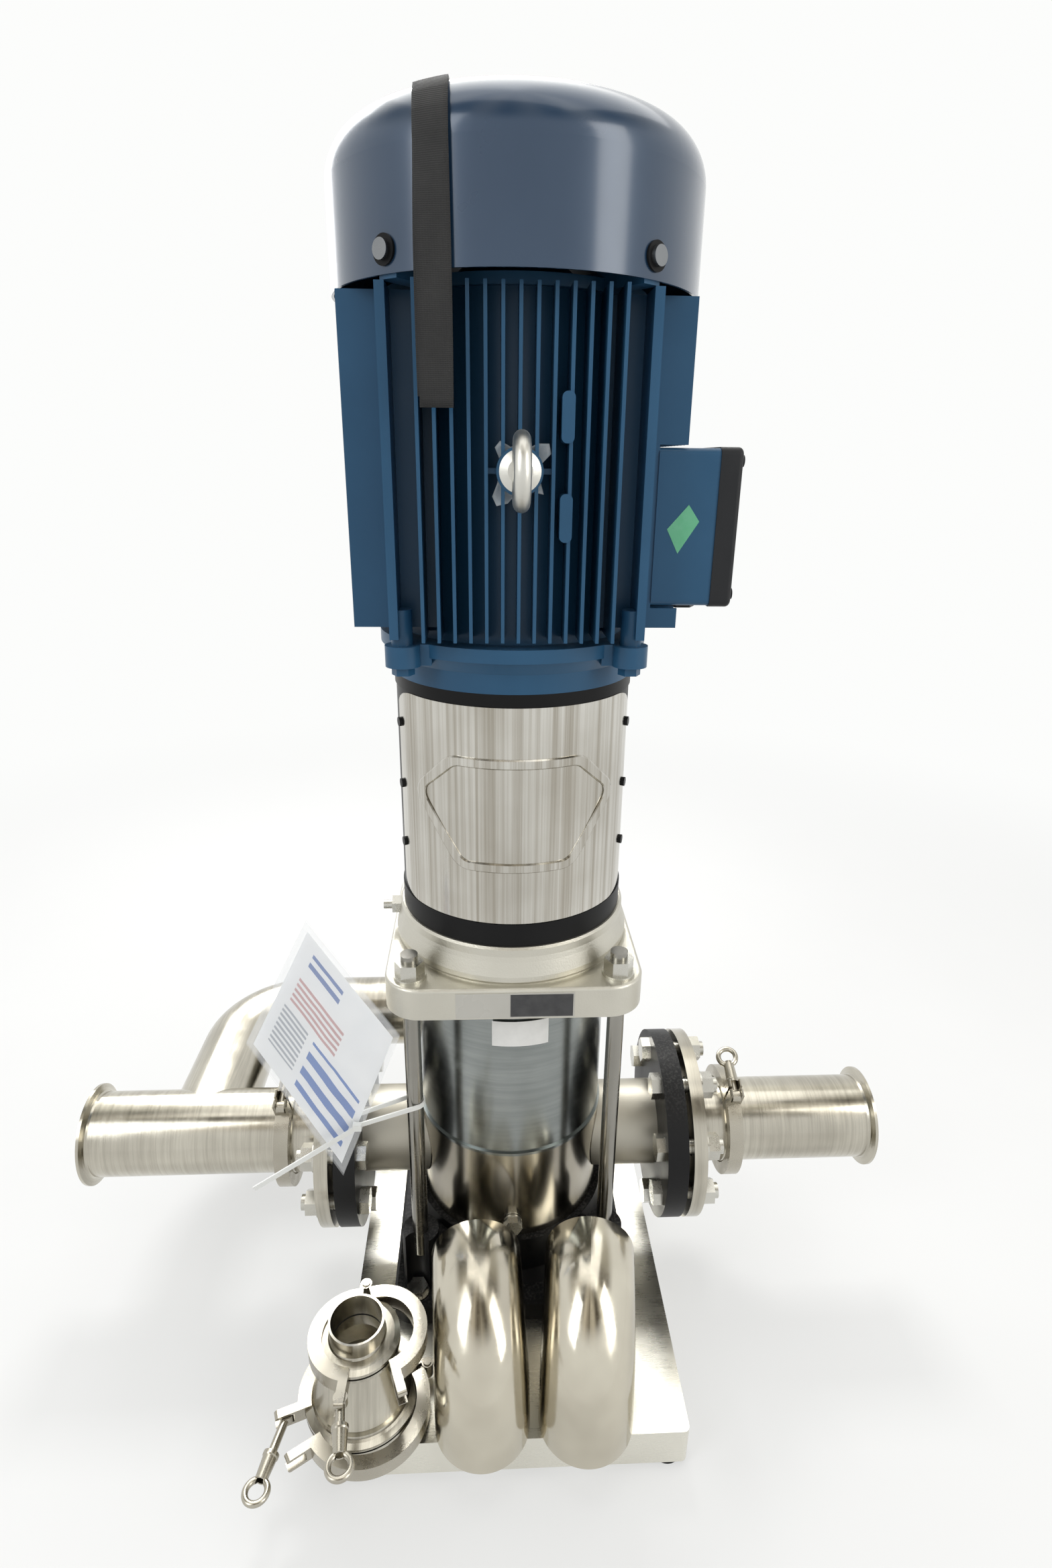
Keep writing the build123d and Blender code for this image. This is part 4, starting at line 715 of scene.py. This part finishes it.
def make_floor():
    """A plain pale floor with the object's shadow, turning into even white away from the object."""
    s = Shader("floor")
    tone = s.mix(s.noise(3.0), (0.30, 0.30, 0.297), (0.32, 0.32, 0.317))
    ground = s.node("ShaderNodeBsdfDiffuse", {"Color": tone})
    lit = s.node("ShaderNodeAddShader", {0: ground.outputs[0], 1: s.shine(WHITE, FLOOR_LIFT)}).outputs[0]
    parts = s.split(s.place)
    away = s.hypot(parts["X"], parts["Y"])
    share = s.node("ShaderNodeMapRange", {"Value": away, "From Min": FADE_NEAR, "From Max": FADE_FAR},
                   interpolation_type="SMOOTHSTEP").outputs["Result"]
    seen = s.choose(share, lit, s.shine(WHITE, 1.0))
    plain = s.node("ShaderNodeBsdfDiffuse", {"Color": UNSEEN_FLOOR}).outputs[0]
    s.surface(s.choose(shown_background(s), plain, seen))
    ends = -FLOOR_HALF, FLOOR_HALF
    bm = grid([[Vector((x, y, 0.0)) for y in ends] for x in ends])
    mesh = bpy.data.meshes.new("floor")
    bm.to_mesh(mesh)
    bm.free()
    mesh.materials.append(s.material)
    floor = bpy.data.objects.new("floor", mesh)
    bpy.context.scene.collection.objects.link(floor)


def make_surroundings():
    """Even soft light, and one background for camera and mirrors: white, with a banded room high up."""
    s = Shader("studio", world=True)
    height = s.ramp(s.split(s.place)["Z"], *ROOM_FROM)
    room = s.mix(height, WHITE[:3], around(s, s.place, ROOM_BANDS))
    soft = s.shine(SOFT_TONE, ROOM_SOFT)
    bpy.context.scene.world = s.surface(s.choose(shown_background(s), soft, s.shine(room, 1.0)))


def make_light(name, place, target, size, power, tone=(1.0, 1.0, 1.0)):
    """A rectangular area lamp of the given size and watts, aimed at a point."""
    data = bpy.data.lights.new(name, "AREA")
    data.shape = "RECTANGLE"
    data.size, data.size_y = size
    data.energy = power
    data.color = tone
    light = bpy.data.objects.new(name, data)
    bpy.context.scene.collection.objects.link(light)
    light.location = place
    light.rotation_mode = "QUATERNION"
    light.rotation_quaternion = (target - place).to_track_quat("-Z", "Y")


make_floor()
make_surroundings()
make_light("overhead", at(100, 300, 2600), at(0, 0, 300), (2.2, 2.2), 19.0)
make_light("back_key", at(-60, 1350, 2000), at(0, 0, 100), (0.55, 0.45), 25.0)
make_light("front_left", at(-1500, -1300, 1900), at(0, 0, 600), (0.9, 1.6), 16.0, (0.96, 0.98, 1.0))
make_light("front_right", at(1600, -1200, 1500), at(0, 0, 600), (0.7, 1.8), 16.0, (1.0, 0.98, 0.94))
make_light("back_edge", at(-900, 1500, 1700), at(0, 0, 800), (0.8, 1.6), 14.0)

bpy.context.scene.view_settings.view_transform = "Standard"
